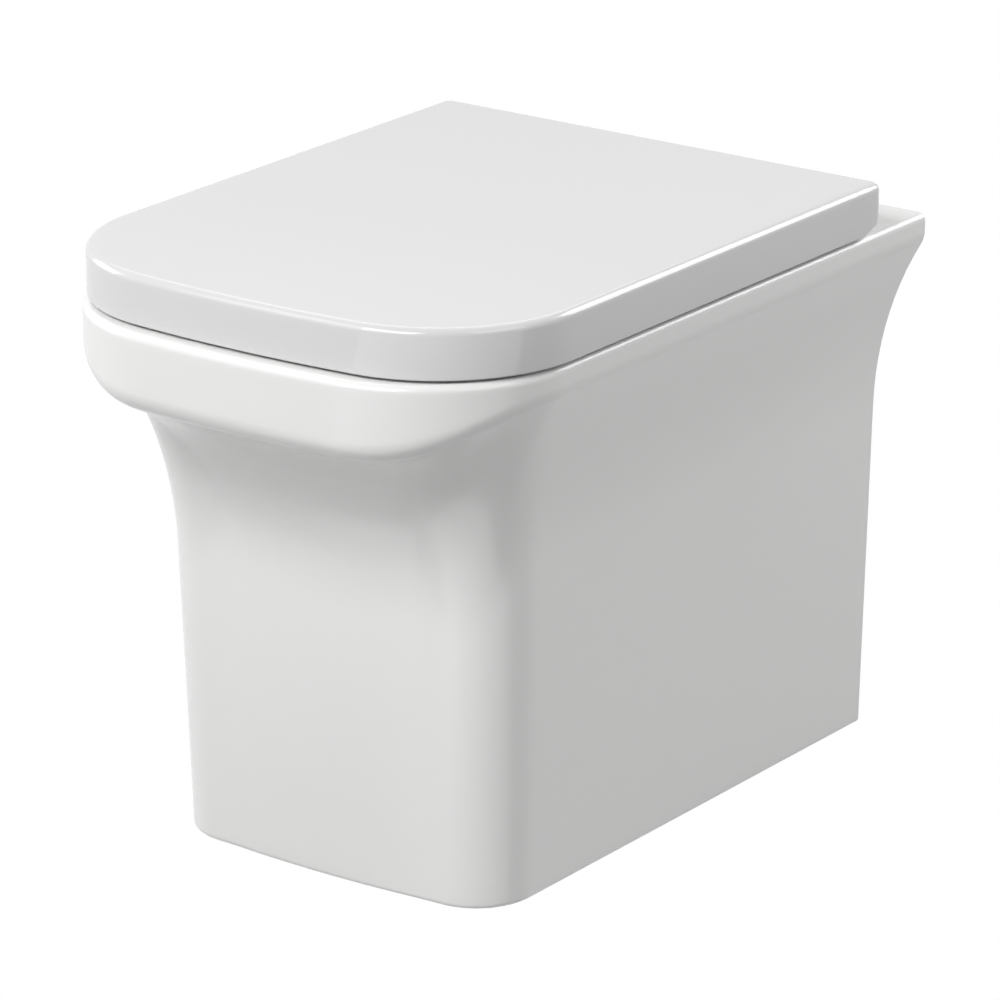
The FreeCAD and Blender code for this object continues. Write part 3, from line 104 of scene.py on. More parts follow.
def colour(name, default, note):
    """A linear colour."""
    return bpy.props.FloatVectorProperty(name=name, description=note, default=default, size=3,
                                         min=0, max=1, subtype="COLOR")


class PanShape(bpy.types.PropertyGroup):
    """Sizes of the pan's outside, the same as in the part's source."""
    height: length("Height", 0.381, "Underside of the pan to the top of the rim")
    stud_height: length("Stud height", 0.298, "Wall studs above the underside")
    rim_half: length("Rim half width", 0.180, "Middle to the side of the rim")
    rim_depth: length("Rim depth", 0.532, "Wall to the front of the rim")
    rim_bow: length("Rim bow", 0.975, "Radius of the rim's front in plan")
    rim_corner: length("Rim corner", 0.110, "Radius of the rim's front corners in plan")
    rim_edge: length("Rim edge", 0.0055, "Rounding of the rim's outer top edge")
    base_half: length("Base half width", 0.1348, "Middle to the side of the skirt at the underside")
    base_depth: length("Base depth", 0.4415, "Wall to the front of the skirt at the underside")
    base_bow: length("Base bow", 0.890, "Radius of the skirt's front in plan")
    base_corner: length("Base corner", 0.0425, "Radius of the skirt's front corners in plan")
    base_edge: length("Base edge", 0.004, "Rounding of the skirt's lower edge")
    neck_side: length("Side draft", 0.0068, "Lean of each side of the skirt up to the neck")
    neck_front: length("Front draft", 0.005, "Lean of the skirt's front up to the neck")
    neck_corner: length("Neck corner", 0.043, "Radius of the skirt's front corners at the neck")
    lip_band: length("Lip band", 0.0065, "Upright face of the rim along the sides")
    lip_radius: length("Lip radius", 0.020, "Rounding under the rim along the sides")
    flare: angle("Flare", 31, "Steepest lean of the side flare")
    nose_band: length("Nose band", 0.0335, "Upright face of the rim at the front")
    nose_radius: length("Nose radius", 0.017, "Rounding under the rim at the front")
    nose_lean: angle("Nose lean", 71, "Steepest lean under the nose")
    nose_blend: length("Nose blend", 0.162, "Length along the rim in which the lip grows into the nose")
    opening_half: length("Opening half width", 0.131, "Middle to the side of the bowl opening")
    opening_front: length("Opening front", 0.485, "Wall to the front of the bowl opening")
    opening_rear: length("Opening rear", 0.172, "Wall to the rear of the bowl opening")
    opening_front_radius: length("Opening front corner", 0.088, "Front corners of the bowl opening")
    opening_rear_radius: length("Opening rear corner", 0.060, "Rear corners of the bowl opening")
    opening_edge: length("Opening edge", 0.006, "Rounding of the bowl opening's edge")
    throat: length("Throat", 0.032, "Upright wall under the bowl opening, from the rim down")


class LidShape(bpy.types.PropertyGroup):
    """Sizes of the wrap-over lid."""
    half: length("Half width", 0.182, "Middle to the side of the lid")
    depth: length("Depth", 0.522, "Wall to the front of the lid")
    setback: length("Setback", 0.056, "Wall to the rear edge of the lid")
    bow: length("Bow", 0.975, "Radius of the lid's front in plan")
    corner: length("Corner", 0.104, "Radius of the lid's front corners in plan")
    rear_corner: length("Rear corner", 0.009, "Radius of the lid's rear corners in plan")
    low: length("Lower edge", 0.085, "Level of the lid's lower edge")
    top: length("Top", 0.1185, "Level of the lid's top")
    wall: length("Wall", 0.0045, "Moulding thickness")
    edge: length("Top edge", 0.0055, "Rounding of the top edge")
    heel: length("Heel", 0.022, "Rounding of the rear lower corners, up to the rear lip")
    lower_edge: length("Lower rounding", 0.0015, "Rounding of the wall's lower edge")
    inner_edge: length("Inner rounding", 0.002, "Rounding between the wall and the ceiling inside")


class RingShape(bpy.types.PropertyGroup):
    """Sizes of the seat ring."""
    half: length("Half width", 0.1755, "Middle to the side of the ring")
    depth: length("Depth", 0.5155, "Wall to the front of the ring")
    setback: length("Setback", 0.074, "Wall to the rear edge of the ring")
    bow: length("Bow", 0.9685, "Radius of the ring's front in plan")
    corner: length("Corner", 0.0975, "Radius of the ring's front corners in plan")
    rear_corner: length("Rear corner", 0.014, "Radius of the ring's rear corners in plan")
    low: length("Underside", 0.086, "Level of the ring's underside")
    top: length("Top", 0.103, "Level of the ring's top")
    edge: length("Top edge", 0.006, "Rounding of the top edges")
    lower_edge: length("Lower edge", 0.0012, "Bevel of the lower edges")
    wall: length("Wall", 0.004, "Moulding thickness round the hollow underside")
    hollow: length("Hollow", 0.009, "Depth of the hollow underside")
    opening_half: length("Opening half width", 0.107, "Middle to the side of the seat opening")
    opening_front: length("Opening front", 0.460, "Wall to the front of the seat opening")
    opening_rear: length("Opening rear", 0.162, "Wall to the rear of the seat opening")
    opening_corner: length("Opening corner", 0.100, "Corners of the seat opening")


class HingeShape(bpy.types.PropertyGroup):
    """Where the hinge lugs of the lid and the ring lie."""
    lid_near: length("Lid lug, near side", 0.0935, "Middle to the near side of the lid's lugs")
    lid_far: length("Lid lug, far side", 0.105, "Middle to the far side of the lid's lugs")
    ring_near: length("Ring lug, near side", 0.050, "Middle to the near side of the ring's lugs")
    ring_far: length("Ring lug, far side", 0.0615, "Middle to the far side of the ring's lugs")
    lid_reach: length("Lid arm reach", 0.0765, "Wall to the front end of the lid's arms")
    ring_reach: length("Ring arm reach", 0.0745, "Wall to where the ring's arms join the ring")


class Finishes(bpy.types.PropertyGroup):
    """Colours of the surfaces."""
    glaze: colour("Glaze", (0.84, 0.84, 0.84), "White glaze of the pan")
    seat: colour("Seat", (0.77, 0.77, 0.77), "White moulded seat and lid")
    buffer: colour("Buffers", (0.45, 0.46, 0.46), "Soft buffers under the seat and lid")
    dark_rubber: colour("Dark rubber", (0.025, 0.025, 0.026), "Seals, pads and plugs")
    sleeve: colour("Sleeves", (0.70, 0.70, 0.68), "Plastic sleeves of the wall fixings")
    damper: colour("Dampers", (0.10, 0.105, 0.11), "Plastic damper housings and rotors")
    chrome: colour("Chrome", (0.72, 0.73, 0.75), "Polished hinge posts")
    steel: colour("Steel", (0.52, 0.53, 0.54), "Plates, pins, bolts, nuts and washers")


class StageShape(bpy.types.PropertyGroup):
    """Camera, floor and softboxes."""
    view_turn: angle("View turn", 36.10, "Camera to the right of the front")
    view_rise: angle("View rise", 19.08, "Camera above the level")
    eye: bpy.props.FloatVectorProperty(name="Camera place", description="Where the camera stands", size=3,
                                       default=(2.18507, -3.23946, 1.19089), subtype="TRANSLATION")
    zoom: bpy.props.FloatProperty(name="Zoom", default=5.82477, min=0.1,
                                  description="Focal length as a multiple of the sensor's width")
    view_end: length("View end", 50, "How far the camera sees")
    floor_level: length("Floor", -0.36, "Level of the floor under the pan")
    floor_half: length("Floor half size", 6, "Middle to the edge of the floor")
    floor_colour: colour("Floor colour", (0.45, 0.45, 0.45), "Pale floor that sends light back up")
    floor_roughness: bpy.props.FloatProperty(name="Floor roughness", default=0.9, min=0, max=1,
                                             description="Dullness of the floor", subtype="FACTOR")
    aim: bpy.props.FloatVectorProperty(name="Aim", description="Point that the softboxes face", size=3,
                                       default=(0, -0.27, -0.09), subtype="TRANSLATION")
    lamp_distance: length("Lamp distance", 2.6, "Softboxes to the point that they face")


class Outline:
    """Half an outline seen from above: a straight side, a corner arc and a bowed front, tangent in turn.

    Lengths count along it from the end of the straight side, negative back towards the wall.
    """

    def __init__(self, half, depth, bow, corner):
        span = bow - corner
        self.half = half
        self.bow = bow
        self.corner = corner
        self.front_centre = np.array([0.0, bow - depth])
        inner = half - corner
        self.corner_centre = np.array([inner, self.front_centre[1] - math.sqrt(span ** 2 - inner ** 2)])
        self.lean = math.asin(inner / span)
        self.corner_turn = math.pi / 2 - self.lean
        self.corner_length = corner * self.corner_turn
        self.length = self.corner_length + bow * self.lean

    def at(self, along):
        """Points and outward normals: centre plus radius times (cos turn, -sin turn), or straight back."""
        on_front = along > self.corner_length
        turn = np.where(on_front, self.corner_turn + (along - self.corner_length) / self.bow,
                        np.maximum(along, 0) / self.corner)
        normal = np.stack([np.cos(turn), -np.sin(turn)], axis=-1)
        centre = np.where(on_front[:, None], self.front_centre, self.corner_centre)
        point = centre + normal * np.where(on_front, self.bow, self.corner)[:, None]
        point[:, 1] += np.maximum(-along, 0)
        return point, normal

    def contains(self, point):
        """Which points to the right of the middle lie inside."""
        beside = point - self.corner_centre
        turn = np.arctan2(-beside[:, 1], beside[:, 0])
        in_front = np.linalg.norm(point - self.front_centre, axis=1) <= self.bow
        in_corner = np.linalg.norm(beside, axis=1) <= self.corner
        past_side = np.where(turn > self.corner_turn, in_front, in_corner)
        return np.where(beside[:, 1] >= 0, point[:, 0] <= self.half, past_side)

    def depth_from(self, point, normal):
        """How far in along a normal the outline lies from points outside it, by halving."""
        near = np.zeros(len(point))
        far = np.full(len(point), self.half)
        for _ in range(HALVINGS):
            middle = (near + far) / 2
            inside = self.contains(point - normal * middle[:, None])
            far = np.where(inside, middle, far)
            near = np.where(inside, near, middle)
        return far

    def locate(self, point):
        """Length along the outline and depth inside it of points to the right of the middle."""
        beside = point - self.corner_centre
        ahead = point - self.front_centre
        turn = np.arctan2(-beside[:, 1], beside[:, 0])
        front_turn = np.arctan2(-ahead[:, 1], ahead[:, 0])
        on_front = (beside[:, 1] < 0) & (turn > self.corner_turn)
        past = np.where(on_front, self.corner_length + (front_turn - self.corner_turn) * self.bow,
                        turn * self.corner)
        past_depth = np.where(on_front, self.bow - np.linalg.norm(ahead, axis=1),
                              self.corner - np.linalg.norm(beside, axis=1))
        on_side = beside[:, 1] >= 0
        along = np.where(on_side, -beside[:, 1], past)
        depth = np.where(on_side, self.half - point[:, 0], past_depth)
        return along, depth


def ease(x):
    """0 to 1 with no slope or curvature at either end: 6x^5 - 15x^4 + 10x^3."""
    x = np.clip(x, 0, 1)
    return x ** 3 * (x * (6 * x - 15) + 10)


class Skin:
    """The pan's sculpted outside.

    Square to the rim stands a profile of the leaning skirt, a hollow arc out to the rim, a round arc
    under it, an upright band and a rounded top edge. Its sizes change from the side's thin lip to the
    deep nose with the eased length past the straight side.
    """

    def __init__(self, pan):
        self.pan = pan
        self.rim = Outline(pan.rim_half, pan.rim_depth, pan.rim_bow, pan.rim_corner)
        self.base = Outline(pan.base_half, pan.base_depth, pan.base_bow, pan.base_corner)
        self.neck = Outline(pan.base_half + pan.neck_side, pan.base_depth + pan.neck_front,
                            pan.base_bow + pan.neck_front, pan.neck_corner)

    def sizes(self, along):
        """Points, normals and columns of profile sizes at lengths along the rim.

        The neck's level and the hollow's radius depend on each other, so they are found by correction.
        """
        pan = self.pan
        point, normal = self.rim.at(along)
        neck = self.neck.depth_from(point, normal)
        base = self.base.depth_from(point, normal)
        blend = ease(along / pan.nose_blend)
        lean = pan.flare + blend * (pan.nose_lean - pan.flare)
        rounding = pan.lip_radius + blend * (pan.nose_radius - pan.lip_radius)
        band = pan.height - pan.rim_edge - (pan.lip_band + blend * (pan.nose_band - pan.lip_band))
        level = band
        for _ in range(CORRECTIONS):
            draft = np.arctan((base - neck) / level)
            hollow = (neck - rounding * (1 - np.cos(lean))) / (np.cos(draft) - np.cos(lean))
            level = band - rounding * np.sin(lean) - hollow * (np.sin(lean) - np.sin(draft))
        columns = (neck, base, lean, rounding, band, draft, hollow, level)
        return point, normal, [column[:, None] for column in columns]

    def foot_depth(self, base, draft):
        """Depth of the foot arc's centre, which touches the underside and the leaning skirt."""
        return base + self.pan.base_edge * (np.cos(draft) - (1 - np.sin(draft)) * np.tan(draft))

    def grid(self, along):
        """Rows of points up the profile: each arc is its centre plus radius times (cos turn, sin turn)."""
        pan = self.pan
        point, normal, (neck, base, lean, rounding, band, draft, hollow, level) = self.sizes(along)
        foot = pan.base_edge
        edge = pan.rim_edge
        ones = np.ones_like(neck)

        def arc(run, depth, height, radius, start, end):
            turn = start + (end - start) * np.linspace(0, 1, PROFILE_POINTS[run])
            return depth + radius * np.cos(turn), height + radius * np.sin(turn)

        foot_arc = arc("foot", self.foot_depth(base, draft), foot * ones, foot, 1.5 * np.pi, np.pi + draft)
        hollow_arc = arc("hollow", neck - hollow * np.cos(draft), level - hollow * np.sin(draft), hollow,
                         draft, lean)
        round_arc = arc("round", rounding, band, rounding, np.pi + lean, np.pi)
        brow_arc = arc("brow", edge * ones, (pan.height - edge) * ones, edge, np.pi * ones, np.pi / 2)
        skirt = self.straight("skirt", foot_arc, hollow_arc)
        upright = self.straight("upright", round_arc, brow_arc)
        runs = [foot_arc, skirt, hollow_arc, round_arc, upright, brow_arc]
        depth = np.hstack([run[0] if row == 0 else run[0][:, 1:] for row, run in enumerate(runs)])
        height = np.hstack([run[1] if row == 0 else run[1][:, 1:] for row, run in enumerate(runs)])
        flat = point[:, None, :] - normal[:, None, :] * depth[..., None]
        return np.concatenate([flat, (height - pan.stud_height)[..., None]], axis=-1)

    @staticmethod
    def straight(run, before, after):
        """Straight run from the end of one arc to the start of the next."""
        step = np.linspace(0, 1, PROFILE_POINTS[run])
        return [start[:, -1:] + (end[:, :1] - start[:, -1:]) * step for start, end in zip(before, after)]

    def covers(self, centres, tolerance):
        """Which points lie on the skin, by their distance from the profile's line or arc at their level."""
        pan = self.pan
        along, depth = self.rim.locate(np.stack([np.abs(centres[:, 0]), centres[:, 1]], axis=-1))
        _, _, columns = self.sizes(along)
        neck, base, lean, rounding, band, draft, hollow, neck_level = [column[:, 0] for column in columns]
        level = centres[:, 2] + pan.stud_height
        foot = pan.base_edge

        def from_arc(arc_depth, arc_level, radius):
            return np.abs(np.hypot(depth - arc_depth, level - arc_level) - radius)

        away = np.abs(depth - base + (base - neck) * level / neck_level)
        away = np.where(level < foot, from_arc(self.foot_depth(base, draft), foot, foot), away)
        hollow_arc = from_arc(neck - hollow * np.cos(draft), neck_level - hollow * np.sin(draft), hollow)
        away = np.where(level > neck_level, hollow_arc, away)
        away = np.where(level > band - rounding * np.sin(lean), from_arc(rounding, band, rounding), away)
        away = np.where(level > band, np.abs(depth), away)
        brow_level = pan.height - pan.rim_edge
        away = np.where(level > brow_level, from_arc(pan.rim_edge, brow_level, pan.rim_edge), away)
        return away < tolerance


def box_loop(half, front, rear, front_radius, rear_radius, grow):
    """Rounded rectangle in plan, grown outwards: four arcs whose ends are joined by straight runs."""
    turn = np.linspace(0, math.pi / 2, OPENING_POINTS)[:, None]
    step = np.linspace(0, 1, OPENING_POINTS + 2)[1:-1, None]
    runs = []
    corners = ((0, 1, -rear, -1, rear_radius), (1, -1, -rear, -1, rear_radius),
               (2, -1, -front, 1, front_radius), (3, 1, -front, 1, front_radius))
    for start, x_side, y, y_side, radius in corners:
        centre = np.array([x_side * (half - radius), y + y_side * radius])
        bearing = start * math.pi / 2 + turn
        runs.append(centre + (radius + grow) * np.hstack([np.cos(bearing), np.sin(bearing)]))
    filled = []
    for run, following in zip(runs, runs[1:] + runs[:1]):
        filled += [run, run[-1] + (following[0] - run[-1]) * step]
    return np.vstack(filled)


def outline_loop(shape):
    """Closed outline of the lid or ring: points and outward normals, round from the middle of the rear."""
    count = LOOP_POINTS
    outline = Outline(shape.half, shape.depth, shape.bow, shape.corner)
    radius = shape.rear_corner
    rear_length = outline.corner_centre[1] + shape.setback + radius
    along = np.concatenate([np.linspace(rear_length, 0, count["side"])[:-1],
                            np.linspace(0, outline.corner_length, count["corner"])[:-1],
                            np.linspace(outline.corner_length, outline.length, count["front"])])
    point, normal = outline.at(along)
    turn = np.linspace(0, math.pi / 2, count["rear_corner"])[:-1]
    corner_normal = np.stack([np.sin(turn), np.cos(turn)], axis=-1)
    corner_point = np.array([shape.half - radius, -shape.setback - radius]) + radius * corner_normal
    x = np.linspace(0, shape.half - radius, count["rear"])[:-1]
    rear_point = np.stack([x, np.full_like(x, -shape.setback)], axis=-1)
    rear_normal = np.stack([np.zeros_like(x), np.ones_like(x)], axis=-1)
    right_point = np.vstack([rear_point, corner_point, point])
    right_normal = np.vstack([rear_normal, corner_normal, normal])
    mirror = np.array([-1.0, 1.0])
    return (np.vstack([right_point, right_point[-2:0:-1] * mirror]),
            np.vstack([right_normal, right_normal[-2:0:-1] * mirror]))


def at_bearings(loop, centre, bearings):
    """Points of a closed loop in the given directions from a centre, by interpolation round it."""
    away = loop - centre
    found = np.arctan2(away[:, 1], away[:, 0])
    order = np.argsort(found)
    return np.stack([np.interp(bearings, found[order], loop[order, axis], period=2 * math.pi)
                     for axis in range(loop.shape[1])], axis=-1)


def opening_facing(edge, half, front, rear, front_radius, rear_radius):
    """Makes a function from a growth to the grown opening's points, in the bearings of an edge's points.

    The bearings are taken from the middle of the opening.
    """
    middle = np.array([0.0, -(front + rear) / 2])
    away = edge - middle
    bearings = np.arctan2(away[:, 1], away[:, 0])

    def grown(grow):
        return at_bearings(box_loop(half, front, rear, front_radius, rear_radius, grow), middle, bearings)

    return grown


def lift(flat, level):
    """Points of a plan with a level as their third coordinate."""
    return np.insert(flat, 2, level, axis=1)


def grid_faces(rows, columns, closed_rows=False, closed_columns=False):
    """Corner numbers of the four-sided faces between neighbouring rows and columns of a grid."""
    number = np.arange(rows * columns).reshape(rows, columns)
    if closed_rows:
        number = np.vstack([number, number[:1]])
    if closed_columns:
        number = np.hstack([number, number[:, :1]])
    corners = [number[:-1, :-1], number[:-1, 1:], number[1:, 1:], number[1:, :-1]]
    return np.stack(corners, axis=-1).reshape(-1, 4)


def new_piece(name, grids, triangles, body, nodes, material):
    """One object on a body of the frame, made of grids and of loose triangles, each merged by itself."""
    corners = []
    faces = []
    count = 0
    for points, quads in grids:
        corners.append(points.reshape(-1, 3))
        faces += (quads + count).tolist()
        count += len(corners[-1])
    corners.append(triangles.reshape(-1, 3))
    faces += (np.arange(len(triangles) * 3).reshape(-1, 3) + count).tolist()
    mesh = bpy.data.meshes.new(name)
    mesh.from_pydata(np.vstack(corners).tolist(), [], faces)
    cleaner = bmesh.new()
    cleaner.from_mesh(mesh)
    vertices = list(cleaner.verts)
    for part in (vertices[:count], vertices[count:]):
        bmesh.ops.remove_doubles(cleaner, verts=part, dist=MERGE_GAP)
    bmesh.ops.dissolve_degenerate(cleaner, edges=cleaner.edges, dist=SLIVER)
    cleaner.to_mesh(mesh)
    cleaner.free()
    mesh.shade_smooth()
    mesh.set_sharp_from_angle(angle=SHARP_ANGLE)
    mesh.materials.append(material)
    piece = bpy.data.objects.new(name, mesh)
    bpy.context.scene.collection.objects.link(piece)
    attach(piece, body)
    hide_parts(*nodes)


def node_triangles(node):
    """Corners of every triangle of a node of the frame, as an array of triangles by corners by axes."""
    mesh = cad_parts[node].data
    mesh.calc_loop_triangles()
    corner = np.empty(len(mesh.loop_triangles) * 3, np.int32)
    mesh.loop_triangles.foreach_get("vertices", corner)
    place = np.empty(len(mesh.vertices) * 3, np.float32)
    mesh.vertices.foreach_get("co", place)
    return place.reshape(-1, 3)[corner].reshape(-1, 3, 3).astype(float)


def lug_triangles(node, near, far, reach):
    """The triangles of a node that lie wholly in its hinge lugs and arms."""
    triangles = node_triangles(node)
    across = np.abs(triangles[..., 0])
    beside = (across > near - LUG_SLACK) & (across < far + LUG_SLACK)
    behind = triangles[..., 1] > -reach - LUG_SLACK
    return triangles[(beside & behind).all(axis=1)]


def math_node(tree, operation, *terms):
    """The output of a Math node whose terms are sockets to link or plain numbers."""
    node = tree.nodes.new("ShaderNodeMath")
    node.operation = operation
    for socket, term in zip(node.inputs, terms):
        if isinstance(term, bpy.types.NodeSocket):
            tree.links.new(term, socket)
        else:
            socket.default_value = term
    return node.outputs[0]


def surface_group():
    """Unevenness of a moulded or glazed surface, from slow waves and a fine peel.

    Height is a mix of both, the tone drifts with the waves, and the roughness drifts with the peel.
    """
    group = bpy.data.node_groups.new("moulded_surface", "ShaderNodeTree")
    sockets = group.interface
    sockets.new_socket(name="Tone", in_out="INPUT", socket_type="NodeSocketColor")
    for name in ("Drift", "Wave scale", "Peel scale", "Peel share", "Gloss", "Gloss drift"):
        sockets.new_socket(name=name, in_out="INPUT", socket_type="NodeSocketFloat")
    sockets.new_socket(name="Colour", in_out="OUTPUT", socket_type="NodeSocketColor")
    for name in ("Roughness", "Height"):
        sockets.new_socket(name=name, in_out="OUTPUT", socket_type="NodeSocketFloat")
    nodes = group.nodes
    links = group.links
    given = nodes.new("NodeGroupInput")
    made = nodes.new("NodeGroupOutput")
    place = nodes.new("ShaderNodeTexCoord")
    wave = nodes.new("ShaderNodeTexNoise")
    wave.inputs["Detail"].default_value = 1
    peel = nodes.new("ShaderNodeTexNoise")
    peel.inputs["Detail"].default_value = 2
    for noise, scale in ((wave, "Wave scale"), (peel, "Peel scale")):
        links.new(place.outputs["Object"], noise.inputs["Vector"])
        links.new(given.outputs[scale], noise.inputs["Scale"])
    height = nodes.new("ShaderNodeMix")
    links.new(given.outputs["Peel share"], height.inputs["Factor"])
    links.new(wave.outputs["Fac"], height.inputs["A"])
    links.new(peel.outputs["Fac"], height.inputs["B"])
    links.new(height.outputs["Result"], made.inputs["Height"])

    def centred(noise, amount):
        away = math_node(group, "SUBTRACT", noise.outputs["Fac"], 0.5)
        return math_node(group, "MULTIPLY", away, given.outputs[amount])

    tone = nodes.new("ShaderNodeVectorMath")
    tone.operation = "SCALE"
    links.new(given.outputs["Tone"], tone.inputs[0])
    links.new(math_node(group, "ADD", centred(wave, "Drift"), 1), tone.inputs["Scale"])
    links.new(tone.outputs["Vector"], made.inputs["Colour"])
    rough = math_node(group, "ADD", given.outputs["Gloss"], centred(peel, "Gloss drift"))
    links.new(rough, made.inputs["Roughness"])
    return group


def finish(name, group, tone, bump, metallic=0.0, **settings):
    """A material whose colour, roughness and relief come from the shared surface group."""
    material = bpy.data.materials.new(name)
    material.use_nodes = True
    nodes = material.node_tree.nodes
    links = material.node_tree.links
    shader = nodes["Principled BSDF"]
    shader.inputs["Metallic"].default_value = metallic
    shader.inputs["IOR"].default_value = 1.5
    surface = nodes.new("ShaderNodeGroup")
    surface.node_tree = group
    surface.inputs["Tone"].default_value = (*tone, 1)
    for socket, value in settings.items():
        surface.inputs[socket.replace("_", " ")].default_value = value
    relief = nodes.new("ShaderNodeBump")
    relief.inputs["Strength"].default_value = 1
    relief.inputs["Distance"].default_value = bump
    links.new(surface.outputs["Colour"], shader.inputs["Base Color"])
    links.new(surface.outputs["Roughness"], shader.inputs["Roughness"])
    links.new(surface.outputs["Height"], relief.inputs["Height"])
    links.new(relief.outputs["Normal"], shader.inputs["Normal"])


# Settings of the surface group for each finish, with the bump's height in metres
FINISHES = {
    "glaze": dict(Drift=0.015, Wave_scale=9, Peel_share=0.0015, Peel_scale=260,
                  Gloss=0.022, Gloss_drift=0.02, bump=0.00012),
    "seat": dict(Drift=0.01, Wave_scale=7, Peel_share=0.002, Peel_scale=500,
                 Gloss=0.04, Gloss_drift=0.03, bump=0.0001),
    "buffer": dict(Drift=0.08, Wave_scale=60, Peel_share=0.4, Peel_scale=900,
                   Gloss=0.5, Gloss_drift=0.2, bump=0.0001),
    "dark_rubber": dict(Drift=0.25, Wave_scale=50, Peel_share=0.5, Peel_scale=1200,
                        Gloss=0.62, Gloss_drift=0.2, bump=0.00012),
    "sleeve": dict(Drift=0.04, Wave_scale=40, Peel_share=0.5, Peel_scale=900,
                   Gloss=0.42, Gloss_drift=0.15, bump=0.00008),
    "damper": dict(Drift=0.12, Wave_scale=40, Peel_share=0.5, Peel_scale=900,
                   Gloss=0.4, Gloss_drift=0.15, bump=0.00008),
    "chrome": dict(Drift=0.03, Wave_scale=30, Peel_share=0.05, Peel_scale=800,
                   Gloss=0.12, Gloss_drift=0.08, bump=0.00003, metallic=1.0),
    "steel": dict(Drift=0.12, Wave_scale=60, Peel_share=0.5, Peel_scale=900,
                  Gloss=0.34, Gloss_drift=0.2, bump=0.00005, metallic=1.0),
}

# Castings that are fired together into the one pan
CASTINGS = ["pan", "pan_bowl", "pan_rim", "pan_inlet"]

# Finish of each node of the frame
NODE_FINISHES = {
    **dict.fromkeys(CASTINGS, "glaze"), "seat_lid": "seat", "seat_ring": "seat",
    "inlet_seal": "dark_rubber", "hinge_gaskets": "dark_rubber", "hinge_plugs": "dark_rubber",
    "fixing_sleeves": "sleeve", "seat_buffers": "buffer", "lid_buffers": "buffer",
    "damper_body_left": "damper", "damper_body_right": "damper",
    "damper_rotor_seat": "damper", "damper_rotor_lid": "damper",
    "hinge_post_left": "chrome", "hinge_post_right": "chrome",
    "fixing_washers": "steel", "fixing_nuts": "steel", "hinge_base_plates": "steel", "hinge_bolts": "steel",
    "hinge_plug_nuts": "steel", "pivot_pin_left": "steel", "pivot_pin_right": "steel",
}


class TOILET_OT_finishes(bpy.types.Operator):
    """Make the surface materials and give the fittings theirs"""
    bl_idname = "toilet.finishes"
    bl_label = "Surface finishes"

    def execute(self, context):
        colours = context.scene.toilet_finishes
        group = surface_group()
        for name, settings in FINISHES.items():
            finish(name, group, getattr(colours, name), **settings)
        for node, name in NODE_FINISHES.items():
            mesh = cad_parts[node].data
            mesh.materials.clear()
            mesh.materials.append(bpy.data.materials[name])
        return {"FINISHED"}


def rim_lengths(rim):
    """Lengths along the right half of the rim from the wall to the middle, even within each stretch."""
    ends = [rim.corner_centre[1], -CORNER_RUN_UP, 0, rim.corner_length, rim.length]
    stretches = [np.linspace(start, end, count)[:-1]
                 for start, end, count in zip(ends, ends[1:], RIM_STATIONS)]
    return np.append(np.concatenate(stretches), rim.length)


def deck_and_throat(pan, brow):
    """Flat deck from the rim's edge in straight steps to the opening, and the opening's wall.

    The wall falls through a quarter-round edge, then straight down to the throat's depth.
    """
    top = pan.height - pan.stud_height
    wall_run = brow[-1] + (brow[0] - brow[-1]) * np.linspace(0, 1, WALL_POINTS)[1:-1, None]
    edge = np.vstack([brow, wall_run])
    opening = opening_facing(edge, pan.opening_half, pan.opening_front, pan.opening_rear,
                             pan.opening_front_radius, pan.opening_rear_radius)
    across = opening(pan.opening_edge) - edge
    deck = np.stack([lift(edge + across * step, top) for step in np.linspace(0, 1, DECK_ROWS)], axis=1)

    drops = np.linspace(pan.opening_edge, pan.throat, THROAT_ROWS)[1:]
    grow = np.append(pan.opening_edge * (1 - np.sin(QUARTER)), np.zeros_like(drops))
    level = np.append(top - pan.opening_edge * (1 - np.cos(QUARTER)), top - drops)
    throat = np.stack([lift(opening(out), height) for out, height in zip(grow, level)], axis=1)
    return deck, throat


def castings_inside(pan, skin):
    """The triangles of the castings that the skin, the deck and the opening's wall don't cover."""
    triangles = np.concatenate([node_triangles(node) for node in CASTINGS])
    centre = triangles.mean(axis=1)
    x, y, z = centre.T
    top = pan.height - pan.stud_height
    round_edge = pan.opening_edge + COVER_CLEAR
    on_skin = skin.covers(centre, SKIN_SLACK) & (y < -COVER_CLEAR) & (z > COVER_CLEAR - pan.stud_height)
    on_deck = z > top - DECK_SLACK
    in_throat = ((z > top - pan.throat) & (np.abs(x) < pan.opening_half + round_edge)
                 & (y < round_edge - pan.opening_rear) & (y > -pan.opening_front - round_edge))
    return triangles[~(on_skin | on_deck | in_throat)]


class TOILET_OT_pan(bpy.types.Operator):
    """Make the glazed pan: sculpted skin, flat deck, rounded bowl edge, and the frame's inside"""
    bl_idname = "toilet.pan"
    bl_label = "Glazed pan"

    def execute(self, context):
        pan = context.scene.toilet_pan
        skin = Skin(pan)
        right = skin.grid(rim_lengths(skin.rim))
        outside = np.concatenate([right, right[-2::-1] * np.array([-1.0, 1.0, 1.0])])
        deck, throat = deck_and_throat(pan, outside[:, -1, :2])
        grids = [(outside, grid_faces(*outside.shape[:2])),
                 (deck, grid_faces(*deck.shape[:2], closed_rows=True)),
                 (throat, grid_faces(*throat.shape[:2], closed_rows=True))]
        new_piece("pan_glaze", grids, castings_inside(pan, skin), "pan", CASTINGS,
                  bpy.data.materials["glaze"])
        return {"FINISHED"}


